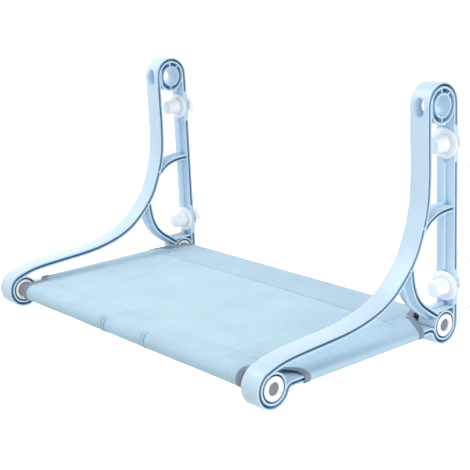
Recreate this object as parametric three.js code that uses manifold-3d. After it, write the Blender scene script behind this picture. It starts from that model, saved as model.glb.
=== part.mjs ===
import * as THREE from 'three';
import { mergeVertices } from 'three/addons/utils/BufferGeometryUtils.js';
import Module from 'manifold-3d';

// Cat window hammock: two moulded side brackets, held to the glass by four
// screw-down suction cups, carry two steel tubes with a cloth bed between them.
// Millimetres, +Z up, +X to the right as seen from the room, +Y towards the glass.
// The origin lies on the glass, midway between the four suction cups.

// Whole object
const bracketPitch = 572;      // middle of one bracket to middle of the other
const bedReach = 314;          // back tube to front tube, level
const frontRise = 5;           // front tube above back tube
const topHeight = 300;         // top boss above back tube
const clearance = 0.3;         // running gap between pieces
const weldDistance = 1e-4;     // corners nearer than this are one corner

// Bracket band: two skins with a groove between them, joined by a web
const bracketWidth = 30;
const grooveGap = 3.4;
const outerSkin = 2.5;
const innerSkin = 2.8;
const webWidth = 3;
const beadWidth = 5;
const beadHeight = 4.5;
const beadStop = 12;           // bead ends this far off the front boss
const skinStep = 0.4;          // ribs and blocks stand back this far from the skins' edges
const beadRootShare = 0.3;     // depth of each root in the skin that carries it
const ribRootShare = 0.7;
const floorRootShare = 0.6;
const wedgeRootShare = 0.4;
const endRadius = 22.5;        // groove round each tube boss
const topRadius = 26.5;        // groove round the top boss
const barDrop = 1.5;           // groove of the lower bar below the line of the tubes
const barFillet = 10;
const armLanding = 115;        // where the arm meets the front boss, in degrees

// Arm curve, from the straight top run to the front boss: share of the way
// out to the front boss, share of the way up from its top to the top boss
const armShares = [
  [0, 0.83], [0, 0.69], [0.0106, 0.541], [0.044, 0.4165], [0.104, 0.286], [0.203, 0.176],
  [0.302, 0.108], [0.4215, 0.066], [0.563, 0.043], [0.757, 0.033], [0.884, 0.026], [0.965, 0.014],
];

// Gusset across the window of the bracket, and the curved rib behind the arm
const gussetFoot = 140;        // height where it leaves the arm
const gussetHead = 159.5;      // height where it meets the back wall
const gussetShares = [[0, 0], [0.25, 0.6], [0.57, 0.93], [1, 1]];
const ribHead = 94;
const ribBelly = 64;
const ribShares = [[1, 0.894], [0.953, 0.723], [0.852, 0.553], [0.703, 0.42], [0.5, 0.3085]];
const ribLanding = 129;        // where the rib meets the back boss, in degrees
const floorRise = 23;
const floorSkin = 2.5;

// Top boss
const topBore = 14;
const topTubeWall = 2.5;
const topRibWidth = 2.5;
const topRibRecess = 2;
const wedgeDepth = 5.5;
const eyeWidth = 17.5;         // oval hole through the front of the arm
const eyeHeight = 25.5;
const eyeWall = 3;

// Suction cup stations on the back wall
const cupAboveTube = 49;
const cupBelowBoss = 27.5;     // from the groove round the top boss
const blockHeight = 50;
const cupRadius = 40;
const cupDepth = 18;
const hubRadius = 12;
const hubDepth = 8;
const cupWall = 3;
const rimWidth = 2;
const bellShares = [[0.42, 0.2], [0.85, 0.6], [1, 0.88]];

// Stud, washer and nut of each cup
const studRadius = 4;
const studLength = 36;
const studHeadRadius = 9;
const studHeadThick = 3;
const studHeadDepth = 4;
const washerRadius = 21.2;
const washerThick = 3;
const neckRadius = 8;
const knobRadius = 12.25;
const knobLength = 22.5;
const knobRound = 3;
const knobEndWall = 2.5;

// Tubes and what fastens them in the bosses
const tubeRadius = 11;
const tubeWall = 1.2;
const barrelWall = 1.2;
const seatWall = 2.4;
const flangeRadius = 15.7;
const flangeThick = 2;
const barrelsApart = 4;        // between the ends of the two bushes in a boss
const tubeStop = 9;            // tube end inside the outer face
const boltHeadRadius = 8;
const boltHeadThick = 3;
const boltHeadRecess = 1;
const boltRadius = 3;
const boltLength = 24;
const socketRadius = 2.9;
const socketDepth = 1.6;
const insertLength = 20;

// Cloth bed
const clothThick = 1.4;
const clothEndGap = 7;         // sleeve ends inside the bracket's inner face
const frontPocket = 31;        // front tube to its seam
const backPocket = 64;         // back tube to its seam
const seamWidth = 4;
const wrapFront = 56;          // side wrap ends behind the front tube
const wrapBack = 50;           // side wrap ends in front of the back tube
const rampStart = 12;
const midSag = 2;
const sideSag = 3.2;
const creaseInset = 32;
const creaseWidth = 14;
const creaseDepth = 1.4;
const stripWidth = 24;
const stripThick = 1.6;
const stripEndGap = 18;
const tailEdge = 26;
const lapWidth = 13;           // wrap stitched onto the bed
const bindingWidth = 6.7;
const bindingProud = 0.6;
const bindingAcross = 4.5;
const bindingThick = 2.2;
const notchTop = 48;           // the notch's binding on the sleeve mouth, in degrees
const notchUnder = 34;

// Counts
const roundSides = 16;
const smallSides = 12;
const cupSides = 20;
const sleeveSteps = 9;
const bedColumns = 14;
const overlapTurn = Math.PI / 18;

const wasm = await Module();
wasm.setup();

const colours = {
  plastic: new THREE.MeshStandardMaterial({ color: 0xcfe3f6, roughness: 0.42, metalness: 0 }),
  white: new THREE.MeshStandardMaterial({ color: 0xf5f7fa, roughness: 0.38, metalness: 0 }),
  clear: new THREE.MeshStandardMaterial({ color: 0xeef3f6, roughness: 0.12, metalness: 0 }),
  steel: new THREE.MeshStandardMaterial({ color: 0x9a98a2, roughness: 0.35, metalness: 1 }),
  cloth: new THREE.MeshStandardMaterial({ color: 0xc3dfec, roughness: 0.85, metalness: 0 }),
  binding: new THREE.MeshStandardMaterial({ color: 0x6f7a88, roughness: 0.8, metalness: 0 }),
  hookLoop: new THREE.MeshStandardMaterial({ color: 0xdfe6ea, roughness: 0.95, metalness: 0 }),
};

// Sizes that follow from the ones above
const halfGroove = grooveGap / 2;
const outerEdge = halfGroove + outerSkin;
const innerEdge = halfGroove + innerSkin;
const wallFront = endRadius - innerEdge;
const wallBack = endRadius + outerEdge;
const back = new THREE.Vector2(0, 0);
const front = new THREE.Vector2(-bedReach, frontRise);
const top = new THREE.Vector2(endRadius - topRadius, topHeight);
const cupHeights = { lower: cupAboveTube, upper: topHeight - topRadius - cupBelowBoss };
const glassSetback = wallBack + clearance + cupDepth;
const originHeight = (cupHeights.lower + cupHeights.upper) / 2;
const forward = front.clone().normalize();
const upward = new THREE.Vector2(forward.y, -forward.x);
const barLength = front.length();
const barrelLength = (bracketWidth - barrelsApart) / 2 - flangeThick;

// A closed mesh as a solid, and back again
function toSolid(geometry) {
  let plain = geometry.clone();
  plain.deleteAttribute('normal');
  plain.deleteAttribute('uv');
  plain = mergeVertices(plain, weldDistance);
  const corners = Array.from(plain.index.array);
  const kept = [];
  for (let i = 0; i < corners.length; i += 3) {
    const [a, b, c] = corners.slice(i, i + 3);
    if (a !== b && b !== c && c !== a) kept.push(a, b, c);
  }
  const vertProperties = new Float32Array(plain.attributes.position.array);
  const mesh = new wasm.Mesh({ numProp: 3, vertProperties, triVerts: new Uint32Array(kept) });
  return new wasm.Manifold(mesh);
}

function toGeometry(solid) {
  const { vertProperties, triVerts } = solid.getMesh();
  const geometry = new THREE.BufferGeometry();
  geometry.setAttribute('position', new THREE.BufferAttribute(new Float32Array(vertProperties), 3));
  geometry.setIndex(new THREE.BufferAttribute(new Uint32Array(triVerts), 1));
  geometry.computeVertexNormals();
  return geometry;
}

function join(solids) {
  return solids.reduce((sum, solid) => sum.add(solid));
}

function cut(solid, tools) {
  return tools.reduce((rest, tool) => rest.subtract(tool), solid);
}

// An outline in the bracket's side plane (towards the glass, up), extruded across
const sideways = new THREE.Matrix4().set(0, 0, 1, 0, 1, 0, 0, 0, 0, 1, 0, 0, 0, 0, 0, 1);

function slab(shape, width, middle = 0) {
  const geometry = new THREE.ExtrudeGeometry(shape, { depth: width, bevelEnabled: false, curveSegments: 1 });
  geometry.translate(0, 0, middle - width / 2);
  return toSolid(geometry.applyMatrix4(sideways));
}

function anticlockwise(points) {
  return THREE.ShapeUtils.isClockWise(points) ? points.slice().reverse() : points;
}

function ringShape(outside, ...insides) {
  const shape = new THREE.Shape(anticlockwise(outside));
  shape.holes = insides.map((inside) => new THREE.Path(anticlockwise(inside)));
  return shape;
}

function box(low, high) {
  const size = high.clone().sub(low);
  const middle = high.clone().add(low).multiplyScalar(1 / 2);
  return toSolid(new THREE.BoxGeometry(size.x, size.y, size.z).translate(middle.x, middle.y, middle.z));
}

function arc(centre, radius, from, to, steps) {
  const points = [];
  for (let i = 0; i <= steps; i += 1) {
    const angle = from + (to - from) * i / steps;
    points.push(new THREE.Vector2(Math.cos(angle), Math.sin(angle)).multiplyScalar(radius).add(centre));
  }
  return points;
}

function annulus(centre, outside, inside, width, sides = roundSides) {
  const edge = (radius) => arc(centre, radius, 0, 2 * Math.PI, sides).slice(1);
  return slab(ringShape(edge(outside), edge(inside)), width);
}

// A profile of [radius, height] points turned round the local Y axis
function turned(profile, sides = roundSides) {
  const area = profile.reduce((sum, [r, y], i) => {
    const [nextR, nextY] = profile[(i + 1) % profile.length];
    return sum + r * nextY - nextR * y;
  }, 0);
  const points = (area > 0 ? profile : profile.slice().reverse()).map(([r, y]) => new THREE.Vector2(r, y));
  const onAxis = points.findIndex((p, i) => p.x === 0 && points[(i + 1) % points.length].x === 0);
  const start = (onAxis + 1) % points.length;
  const ordered = points.slice(start).concat(points.slice(0, start));
  if (onAxis < 0) ordered.push(ordered[0].clone());
  return toSolid(new THREE.LatheGeometry(ordered, sides));
}

// The same points moved sideways from the line by a distance, to its right
function offset(points, distance, closed) {
  const last = points.length - 1;
  return points.map((point, i) => {
    const before = points[i > 0 ? i - 1 : closed ? last : 0];
    const after = points[i < last ? i + 1 : closed ? 0 : last];
    const run = after.clone().sub(before).normalize();
    return new THREE.Vector2(run.y, -run.x).multiplyScalar(distance).add(point);
  });
}

function strip(points, right, left, width) {
  const shape = new THREE.Shape(offset(points, right, false).concat(offset(points, left, false).reverse()));
  return slab(shape, width);
}

// Two skins and a web along an open line, with a bead on its left or right side
function doubleSkin(points, beadSide) {
  const beadRoot = outerEdge - beadRootShare * outerSkin;
  const bead = [beadSide * beadRoot, beadSide * (outerEdge + beadHeight)];
  const width = bracketWidth - 2 * skinStep;
  return [
    strip(points, outerEdge, halfGroove, width),
    strip(points, -halfGroove, -outerEdge, width),
    strip(points, outerEdge - outerSkin / 2, outerSkin / 2 - outerEdge, webWidth - skinStep),
    strip(points, Math.max(...bead), Math.min(...bead), beadWidth - 2 * skinStep),
  ];
}

// Groove line of the bracket: back boss, wall, top boss, arm, front boss and bar
function grooveLine() {
  const reach = endRadius + barFillet;
  const sink = barDrop + barFillet;
  const run = Math.sqrt(reach * reach - sink * sink);
  const lineAngle = Math.atan2(forward.y, forward.x);
  const lean = Math.asin(sink / reach);
  const filletFront = front.clone().addScaledVector(forward, -run).addScaledVector(upward, -sink);
  const filletBack = back.clone().addScaledVector(forward, run).addScaledVector(upward, -sink);
  const upAngle = Math.atan2(upward.y, upward.x);
  const backStart = lineAngle + lean;
  const frontEnd = lineAngle + Math.PI - lean;
  const armEnd = THREE.MathUtils.degToRad(armLanding);
  const straight = top.x - topRadius;
  const crown = front.y + endRadius;
  const armPoint = ([out, rise]) => new THREE.Vector2(
    straight + out * (front.x - straight), crown + rise * (top.y - crown));
  const frontArc = arc(front, endRadius, armEnd, frontEnd, 10);
  const armLine = new THREE.SplineCurve(
    [new THREE.Vector2(straight, top.y), ...armShares.map(armPoint), frontArc[0]]);
  const armSteps = 2 * (armShares.length + 1);
  const wallAndArm = [
    new THREE.Vector2(back.x + endRadius, back.y),
    ...arc(top, topRadius, 0, Math.PI, 9),
    ...armLine.getPoints(armSteps).slice(1),
  ];
  const points = [
    ...arc(back, endRadius, backStart, 2 * Math.PI, 9).slice(0, -1),
    ...wallAndArm,
    ...frontArc.slice(1, -1),
    ...arc(filletFront, barFillet, frontEnd - Math.PI, upAngle, 3),
    ...arc(filletBack, barFillet, upAngle, backStart - Math.PI, 3).slice(0, -1),
  ];
  return { points, wallAndArm };
}

// Where a rib is rooted in the arm's inner skin, at a height
function onArm(wallAndArm, height) {
  const skin = offset(wallAndArm, ribRootShare * innerSkin - innerEdge, false);
  const below = skin.findIndex((point, i) => i > 0 && point.x < top.x && point.y < height);
  const [a, b] = [skin[below - 1], skin[below]];
  return a.clone().lerp(b, (a.y - height) / (a.y - b.y));
}

function bracketSolid() {
  const { points, wallAndArm } = grooveLine();
  const loop = (outside, inside, width) => slab(
    ringShape(offset(points, outside, true), offset(points, inside, true)), width);
  const wallAt = (share) => wallFront + share * innerSkin;

  const gussetStart = onArm(wallAndArm, gussetFoot);
  const gussetRun = wallAt(ribRootShare) - gussetStart.x;
  const gusset = gussetShares.map(([across, rise]) => new THREE.Vector2(
    gussetStart.x + across * gussetRun, gussetFoot + rise * (gussetHead - gussetFoot)));
  const gussetLine = new THREE.SplineCurve(gusset).getPoints(5);

  const landing = THREE.MathUtils.degToRad(ribLanding);
  const ribEnd = new THREE.Vector2(Math.cos(landing), Math.sin(landing));
  const rib = [
    onArm(wallAndArm, ribHead),
    ...ribShares.map(([out, rise]) => new THREE.Vector2(-out * ribBelly, rise * ribHead)),
    ribEnd.multiplyScalar(wallAt(ribRootShare)),
  ];
  const ribLine = new THREE.SplineCurve(rib).getPoints(8);

  const across = (low, high, width) => box(
    new THREE.Vector3(-width / 2, low.x, low.y), new THREE.Vector3(width / 2, high.x, high.y));
  const point = (along, height) => new THREE.Vector2(along, height);
  const floorMiddle = floorRise - floorSkin / 2;
  const ringMiddle = wallAt(1 / 2);
  const topRingMiddle = topRadius - halfGroove - innerSkin / 2;
  const armBead = wallAndArm.filter((spot) => spot.x < top.x && spot.y < top.y - topRadius / 2
    && spot.distanceTo(front) > endRadius + beadStop);
  const shell = [
    loop(outerEdge, halfGroove, bracketWidth),
    loop(-halfGroove, -innerEdge, bracketWidth),
    loop(halfGroove + outerSkin / 2, -halfGroove - innerSkin / 2, webWidth),
    strip(armBead, beadRootShare * innerSkin - innerEdge, -innerEdge - beadHeight, beadWidth),
    across(point(wallFront - beadHeight, cupHeights.lower + blockHeight / 2),
      point(wallAt(beadRootShare), cupHeights.upper - blockHeight / 2), beadWidth),
    ...doubleSkin(gussetLine, -1),
    ...doubleSkin(ribLine, 1),
    across(point(-wallFront, floorRise - floorSkin), point(wallAt(floorRootShare), floorRise),
      bracketWidth - 3 * skinStep),
    across(point(skinStep - wallFront, floorMiddle), point(wallFront - washerThick - 2 * clearance,
      floorRise + beadHeight - 2 * clearance), beadWidth),
    slab(new THREE.Shape([point(wallAt(floorRootShare), floorMiddle), point(-wallFront, floorMiddle),
      ...arc(back, ringMiddle, 3 * Math.PI / 4, 0, 6)]), webWidth + skinStep),
    slab(new THREE.Shape([point(wallAt(wedgeRootShare), top.y),
      point(wallAt(wedgeRootShare), top.y - topRadius - wedgeDepth),
      ...arc(top, topRingMiddle, -Math.PI / 2, 0, 4).slice(0, -1)]), webWidth + skinStep),
  ];
  const rings = [
    [back, ringMiddle, -overlapTurn, Math.PI + overlapTurn, 8],
    [front, ringMiddle, -Math.PI / 6, 2 * Math.PI / 3, 6],
    [top, topRingMiddle, Math.PI - overlapTurn, 2 * Math.PI + overlapTurn, 8],
  ];
  for (const [centre, radius, from, to, steps] of rings) {
    shell.push(strip(arc(centre, radius, from, to, steps), innerSkin / 2, -innerSkin / 2, bracketWidth));
  }
  const blocks = [];
  const studHoles = [];
  for (const height of Object.values(cupHeights)) {
    blocks.push(across(point(wallAt(1 / 2), height - blockHeight / 2),
      point(wallBack - outerSkin / 2, height + blockHeight / 2), bracketWidth - 2 * skinStep));
    const hole = new THREE.CylinderGeometry(
      studRadius + clearance, studRadius + clearance, 2 * wallBack, smallSides);
    studHoles.push(toSolid(hole.translate(0, wallBack, height)));
  }
  const seatBore = tubeRadius + clearance + barrelWall + clearance;
  const seatSpan = bracketWidth - 2 * (flangeThick + clearance);
  const bossRecess = endRadius - innerEdge;
  const topRecess = topRadius - innerEdge;
  const inside = [];
  for (const centre of [back, front]) {
    inside.push(annulus(centre, seatBore + seatWall, seatBore, seatSpan));
    inside.push(annulus(centre, bossRecess + innerSkin / 2, seatBore + seatWall / 2, webWidth));
  }
  const topTube = topBore + topTubeWall;
  inside.push(annulus(top, topTube, topBore, bracketWidth));
  inside.push(annulus(top, topRecess + innerSkin / 2, topTube - topTubeWall / 2, webWidth));
  for (const angle of [Math.PI / 2, Math.PI / 4, -Math.PI / 2]) {
    const along = new THREE.Vector2(Math.cos(angle), Math.sin(angle));
    const aside = new THREE.Vector2(-along.y, along.x).multiplyScalar(topRibWidth / 2);
    const near = along.clone().multiplyScalar(topTube - topTubeWall / 2).add(top);
    const far = along.clone().multiplyScalar(topRecess + innerSkin / 2).add(top);
    const corners = [
      near.clone().sub(aside), far.clone().sub(aside), far.clone().add(aside), near.clone().add(aside)];
    inside.push(slab(new THREE.Shape(corners), bracketWidth - 2 * topRibRecess));
  }

  // The oval hole with its own wall, from the front of the arm into the top bore
  const eyeFront = top.x - topRadius - outerEdge;
  const eyeBack = top.x - topBore - topTubeWall / 2;
  inside.push(box(
    new THREE.Vector3(-eyeWidth / 2 - eyeWall, eyeFront + outerSkin / 2, top.y - eyeHeight / 2 - eyeWall),
    new THREE.Vector3(eyeWidth / 2 + eyeWall, eyeBack, top.y + eyeHeight / 2 + eyeWall)));
  const eyeRound = eyeWidth / 2;
  const eyeStraight = eyeHeight / 2 - eyeRound;
  const eyeShape = new THREE.Shape([
    ...arc(new THREE.Vector2(0, eyeStraight), eyeRound, 0, Math.PI, 8),
    ...arc(new THREE.Vector2(0, -eyeStraight), eyeRound, Math.PI, 2 * Math.PI, 8),
  ]);
  const eyeLength = topBore - (eyeFront - top.x);
  const eye = new THREE.ExtrudeGeometry(eyeShape, { depth: eyeLength, bevelEnabled: false });
  eye.rotateX(Math.PI / 2).translate(0, top.x, top.y);

  const body = join([...shell, ...inside, ...blocks]);
  return cut(body, [...studHoles, toSolid(eye)]);
}

// Each bracket is one moulding in three nodes that lie flush: the wall between its seat
// blocks, the top boss, and the arm with its bar, ribs and tube bosses.
function bracketPieces() {
  const bossFoot = top.y - topRadius - outerEdge - wedgeDepth;
  const [boss, rest] = bracketSolid().splitByPlane([0, 0, 1], bossFoot);
  const wall = box(
    new THREE.Vector3(-bracketWidth, wallFront, cupHeights.lower - blockHeight / 2),
    new THREE.Vector3(bracketWidth, 2 * wallBack, top.y));
  return { bracket: rest.subtract(wall), bracket_wall: rest.intersect(wall), bracket_top_boss: boss };
}

// Clear suction cup, its open rim on the glass; height 0 is the hub face
function cupSolid() {
  const bellRun = cupRadius - hubRadius;
  const bellRise = cupDepth - hubDepth;
  const outside = bellShares.map(([out, rise]) => [hubRadius + out * bellRun, hubDepth + rise * bellRise]);
  const insideShares = bellShares.slice(0, -1).reverse();
  const insideRun = cupRadius - rimWidth - hubRadius;
  const insideRise = cupDepth - hubDepth - cupWall;
  const inside = insideShares.map(([out, rise]) => [
    hubRadius + out * insideRun, hubDepth + cupWall + rise * insideRise]);
  const holeRadius = studRadius + clearance;
  const pocketRadius = studHeadRadius + clearance;
  const pocketTop = studHeadDepth + studHeadThick + 2 * clearance;
  return turned([
    [0, hubDepth + cupWall], [0, pocketTop], [pocketRadius, pocketTop], [pocketRadius, studHeadDepth],
    [holeRadius, studHeadDepth], [holeRadius, 0], [hubRadius, 0], [hubRadius, hubDepth],
    ...outside, [cupRadius, cupDepth], [cupRadius - rimWidth, cupDepth], ...inside,
  ], cupSides);
}

// Stud, head first; its shank runs down through the wall into the nut
function studSolid() {
  return turned([
    [0, studHeadThick], [studHeadRadius, studHeadThick], [studHeadRadius, 0], [studRadius, 0],
    [studRadius, -studLength], [0, -studLength],
  ], smallSides);
}

function washerSolid() {
  const hole = neckRadius + clearance;
  return turned([[hole, 0], [washerRadius, 0], [washerRadius, washerThick], [hole, washerThick]]);
}

// Blind nut with a neck through the washer and a round-ended knob
function nutSolid() {
  const neck = washerThick + clearance;
  const end = neck + knobLength;
  const bore = studRadius + clearance;
  const round = arc(new THREE.Vector2(knobRadius - knobRound, end - knobRound), knobRound, 0, Math.PI / 2, 2);
  return turned([
    [bore, 0], [neckRadius, 0], [neckRadius, neck], [knobRadius, neck],
    ...round.map((point) => [point.x, point.y]), [0, end], [0, end - knobEndWall], [bore, end - knobEndWall],
  ]);
}

// Pieces in a tube boss; height 0 is the middle of the bracket, up is outward
function outerBushSolid() {
  const outFace = bracketWidth / 2;
  const barrel = tubeRadius + clearance + barrelWall;
  const stop = outFace - tubeStop + clearance;
  const ledge = outFace - boltHeadRecess - boltHeadThick - clearance;
  const barrelEnd = outFace - flangeThick - barrelLength;
  return turned([
    [boltRadius + clearance, stop], [boltRadius + clearance, ledge], [boltHeadRadius + clearance, ledge],
    [boltHeadRadius + clearance, outFace], [flangeRadius, outFace], [flangeRadius, outFace - flangeThick],
    [barrel, outFace - flangeThick], [barrel, barrelEnd], [tubeRadius + clearance, barrelEnd],
    [tubeRadius + clearance, stop],
  ]);
}

function innerBushSolid() {
  const inFace = -bracketWidth / 2;
  const barrel = tubeRadius + clearance + barrelWall;
  const barrelEnd = inFace + flangeThick + barrelLength;
  return turned([
    [tubeRadius + clearance, inFace], [flangeRadius, inFace], [flangeRadius, inFace + flangeThick],
    [barrel, inFace + flangeThick], [barrel, barrelEnd], [tubeRadius + clearance, barrelEnd],
  ]);
}

function boltSolid() {
  const face = bracketWidth / 2 - boltHeadRecess;
  const seat = face - boltHeadThick;
  const bolt = turned([
    [0, face], [boltHeadRadius, face], [boltHeadRadius, seat], [boltRadius, seat],
    [boltRadius, seat - boltLength], [0, seat - boltLength],
  ], roundSides);
  const socket = new THREE.CylinderGeometry(socketRadius, socketRadius, 2 * socketDepth, 6);
  return bolt.subtract(toSolid(socket.translate(0, face, 0)));
}

function insertSolid() {
  const outside = tubeRadius - tubeWall - clearance;
  const bore = boltRadius + clearance;
  const end = bracketWidth / 2 - tubeStop;
  return turned([[bore, end - insertLength], [outside, end - insertLength], [outside, end], [bore, end]]);
}

// Steel tube across the whole width, axis along the local Y
function tubeSolid() {
  const half = bracketPitch / 2 + bracketWidth / 2 - tubeStop;
  const bore = tubeRadius - tubeWall;
  return turned([[bore, -half], [tubeRadius, -half], [tubeRadius, half], [bore, half]]);
}

// Cloth bed. Its points are (distance from the back tube to the front tube, height
// above the line through both tubes), and it runs across between the brackets.
const sleeveInside = (tubeRadius + clearance) / Math.cos(Math.PI / 2 / sleeveSteps);
const sleeveOutside = sleeveInside + clothThick;
const clothHalf = bracketPitch / 2 - bracketWidth / 2 - clothEndGap;
const barTop = outerEdge - barDrop;
const barBottom = -outerEdge - barDrop;

function smooth(value, low, high) {
  const share = THREE.MathUtils.clamp((value - low) / (high - low), 0, 1);
  return share * share * (3 - 2 * share);
}

// How far the middle of the bed hangs below the tops of its sleeves
function bedSag(along) {
  const fromMiddle = 2 * along / barLength - 1;
  return midSag * (1 - fromMiddle * fromMiddle);
}

// How much further it hangs where the side wraps draw it down, less its creases
function sideDrop(x, along) {
  const ends = smooth(along, rampStart, wrapBack) * smooth(barLength - along, rampStart, wrapFront);
  const side = Math.abs(x) / clothHalf;
  const fromCrease = (Math.abs(x) - clothHalf + creaseInset) / creaseWidth;
  const crease = creaseDepth * Math.exp(-fromCrease * fromCrease);
  return ends * ((sideSag + midSag - bedSag(along)) * side ** 3 - crease);
}

// A sleeve round a tube, from its top round to where the cloth leaves for its seam
function sleeveArc(along, radius, seam) {
  const toSeam = seam.clone().sub(new THREE.Vector2(along, 0));
  const turn = Math.sign(toSeam.x);
  const leave = Math.atan2(toSeam.y, toSeam.x) - turn * Math.acos(radius / toSeam.length());
  const start = Math.PI / 2;
  const end = turn > 0 ? leave + 2 * Math.PI : leave - 2 * Math.PI;
  const steps = Math.ceil(Math.abs(end - start) * sleeveSteps / Math.PI);
  return arc(new THREE.Vector2(along, 0), radius, start, end, steps);
}

function bedSolid() {
  const frontSeam = barLength - frontPocket;
  const onTop = (along) => new THREE.Vector2(along, sleeveOutside - bedSag(along));
  const below = (along) => new THREE.Vector2(along, sleeveInside - bedSag(along));
  const middle = [backPocket + wrapBack, barLength / 2, barLength - wrapFront - wrapBack];
  const topLine = [rampStart, wrapBack - rampStart, ...middle, barLength - wrapFront,
    frontSeam + seamWidth].map(onTop);
  const underLine = [backPocket, ...middle, barLength - wrapFront, frontSeam].reverse().map(below);
  const outside = [
    ...topLine,
    ...sleeveArc(barLength, sleeveOutside, below(frontSeam)),
    ...underLine,
    ...sleeveArc(0, sleeveOutside, below(backPocket)).reverse(),
  ];
  const frontTip = below(frontSeam + seamWidth);
  const backTip = below(backPocket - seamWidth);
  const frontHole = [...sleeveArc(barLength, sleeveInside, frontTip), frontTip];
  const backHole = [...sleeveArc(0, sleeveInside, backTip), backTip];
  const geometry = new THREE.ExtrudeGeometry(ringShape(outside, frontHole, backHole), {
    depth: 1, steps: bedColumns, bevelEnabled: false, curveSegments: 1 });
  const place = geometry.attributes.position;
  for (let i = 0; i < place.count; i += 1) {
    const across = clothHalf * Math.sin(Math.PI / 2 * (1 - 2 * place.getZ(i)));
    const along = place.getX(i);
    const height = place.getY(i) - sideDrop(across, along);
    place.setXYZ(i, across, forward.x * along + upward.x * height, forward.y * along + upward.y * height);
  }
  return toSolid(geometry);
}

// An outline of (across, height above the line of the tubes), run along the bar
function alongBar(points, side, from, to) {
  const shape = new THREE.Shape(points.map(([x, y]) => new THREE.Vector2(side * x, y)));
  const geometry = new THREE.ExtrudeGeometry(shape, { depth: to - from, bevelEnabled: false });
  geometry.applyMatrix4(new THREE.Matrix4().set(
    1, 0, 0, 0,
    0, upward.x, forward.x, forward.x * from,
    0, upward.y, forward.y, forward.y * from,
    0, 0, 0, 1));
  return toSolid(geometry);
}

// The side wrap: over the bar, down outside it, back beneath it to the fastening
const sideTop = sleeveOutside - midSag - sideSag;
const sideUnder = sideTop - clothThick;
const barInner = bracketPitch / 2 - bracketWidth / 2;
const barOuter = bracketPitch / 2 + bracketWidth / 2;
const tailTop = sideUnder - stripThick - 2 * clearance;

function wrapOutline(proud, lap, tail) {
  const gap = clearance;
  const cloth = clothThick + proud;
  const edge = clothHalf + 2 * gap;
  const topAt = sideTop - gap + proud;
  return [
    [clothHalf - lap, topAt], [edge, topAt], [barInner + gap, barTop + gap + cloth],
    [barOuter + gap + cloth, barTop + gap + cloth], [barOuter + gap + cloth, barBottom - gap - cloth],
    [barInner - gap - cloth, barBottom - gap - cloth], [barInner - gap - cloth, 0],
    [edge, tailTop - clothThick], [clothHalf - tail, tailTop - clothThick], [clothHalf - tail, tailTop],
    [edge, tailTop], [barInner - gap, barTop - clothThick], [barInner - gap, barBottom - gap],
    [barOuter + gap, barBottom - gap], [barOuter + gap, barTop + gap], [barInner - gap, barTop + gap],
    [edge, sideUnder + gap], [clothHalf - lap, sideUnder + gap],
  ];
}

function clothSolid() {
  const wraps = [1, -1].map((side) => alongBar(
    wrapOutline(0, lapWidth, tailEdge), side, wrapBack, barLength - wrapFront));
  return join([bedSolid(), ...wraps]);
}

// Edge binding of one corner: round the sleeve mouth, along the notch, round the wrap mouth
function bindingSolid(side, atFront) {
  const tubeAlong = atFront ? barLength : 0;
  const inward = atFront ? -1 : 1;
  const wrapEdge = atFront ? barLength - wrapFront : wrapBack;
  const near = wrapEdge - inward * clearance;
  const far = near - inward * bindingWidth;
  const mouthOutline = wrapOutline(bindingProud, -clearance, -clearance);
  const mouth = alongBar(mouthOutline, side, Math.min(near, far), Math.max(near, far));
  const start = clothHalf + clearance;
  const toWorld = (point) => new THREE.Vector2(
    forward.x * point.x + upward.x * point.y, forward.y * point.x + upward.y * point.y);
  const outside = sleeveOutside + bindingProud;
  const circle = (radius) => arc(new THREE.Vector2(tubeAlong, 0), radius, 0, 2 * Math.PI, 2 * sleeveSteps)
    .slice(1).map(toWorld);
  const middle = side * (start + bindingAcross / 2);
  const sleeve = slab(ringShape(circle(outside), circle(sleeveInside)), bindingAcross, middle);
  const ringMiddle = (outside + sleeveInside) / 2;
  const onRing = (degrees) => {
    const angle = THREE.MathUtils.degToRad(degrees);
    return new THREE.Vector2(tubeAlong + inward * ringMiddle * Math.cos(angle), ringMiddle * Math.sin(angle));
  };
  const mid = (tubeAlong + inward * ringMiddle + near) / 2;
  const edgeTop = (along) => sleeveOutside - bedSag(along) - sideDrop(clothHalf, along);
  const edge = [
    onRing(notchTop), new THREE.Vector2(mid, edgeTop(mid)), new THREE.Vector2(near, sideTop),
    new THREE.Vector2(near, sideTop - bindingThick), new THREE.Vector2(mid, edgeTop(mid) - bindingThick),
    onRing(notchUnder),
  ];
  const notch = slab(new THREE.Shape(edge.map(toWorld)), bindingAcross, middle);
  return join([sleeve, notch, mouth]);
}

function hookLoopSolid(side) {
  const inner = clothHalf - clearance - stripWidth;
  const outline = [[inner, tailTop + clearance], [inner + stripWidth, tailTop + clearance],
    [inner + stripWidth, tailTop + clearance + stripThick], [inner, tailTop + clearance + stripThick]];
  return alongBar(outline, side, backPocket + stripEndGap, barLength - wrapFront - stripEndGap);
}

// Assembly
const hammock = new THREE.Group();
const inPlace = new THREE.Group();
inPlace.position.set(0, -glassSetback, -originHeight);
hammock.add(inPlace);

function place(parent, name, geometry, material) {
  const mesh = new THREE.Mesh(geometry, material);
  mesh.name = name;
  parent.add(mesh);
  return mesh;
}

const shapes = {
  cup: toGeometry(cupSolid()),
  stud: toGeometry(studSolid()),
  washer: toGeometry(washerSolid()),
  nut: toGeometry(nutSolid()),
  outerBush: toGeometry(outerBushSolid()),
  innerBush: toGeometry(innerBushSolid()),
  bolt: toGeometry(boltSolid()),
  insert: toGeometry(insertSolid()),
  tube: toGeometry(tubeSolid()),
};

const mouldings = Object.entries(bracketPieces()).map(([piece, solid]) => [piece, toGeometry(solid)]);

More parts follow.
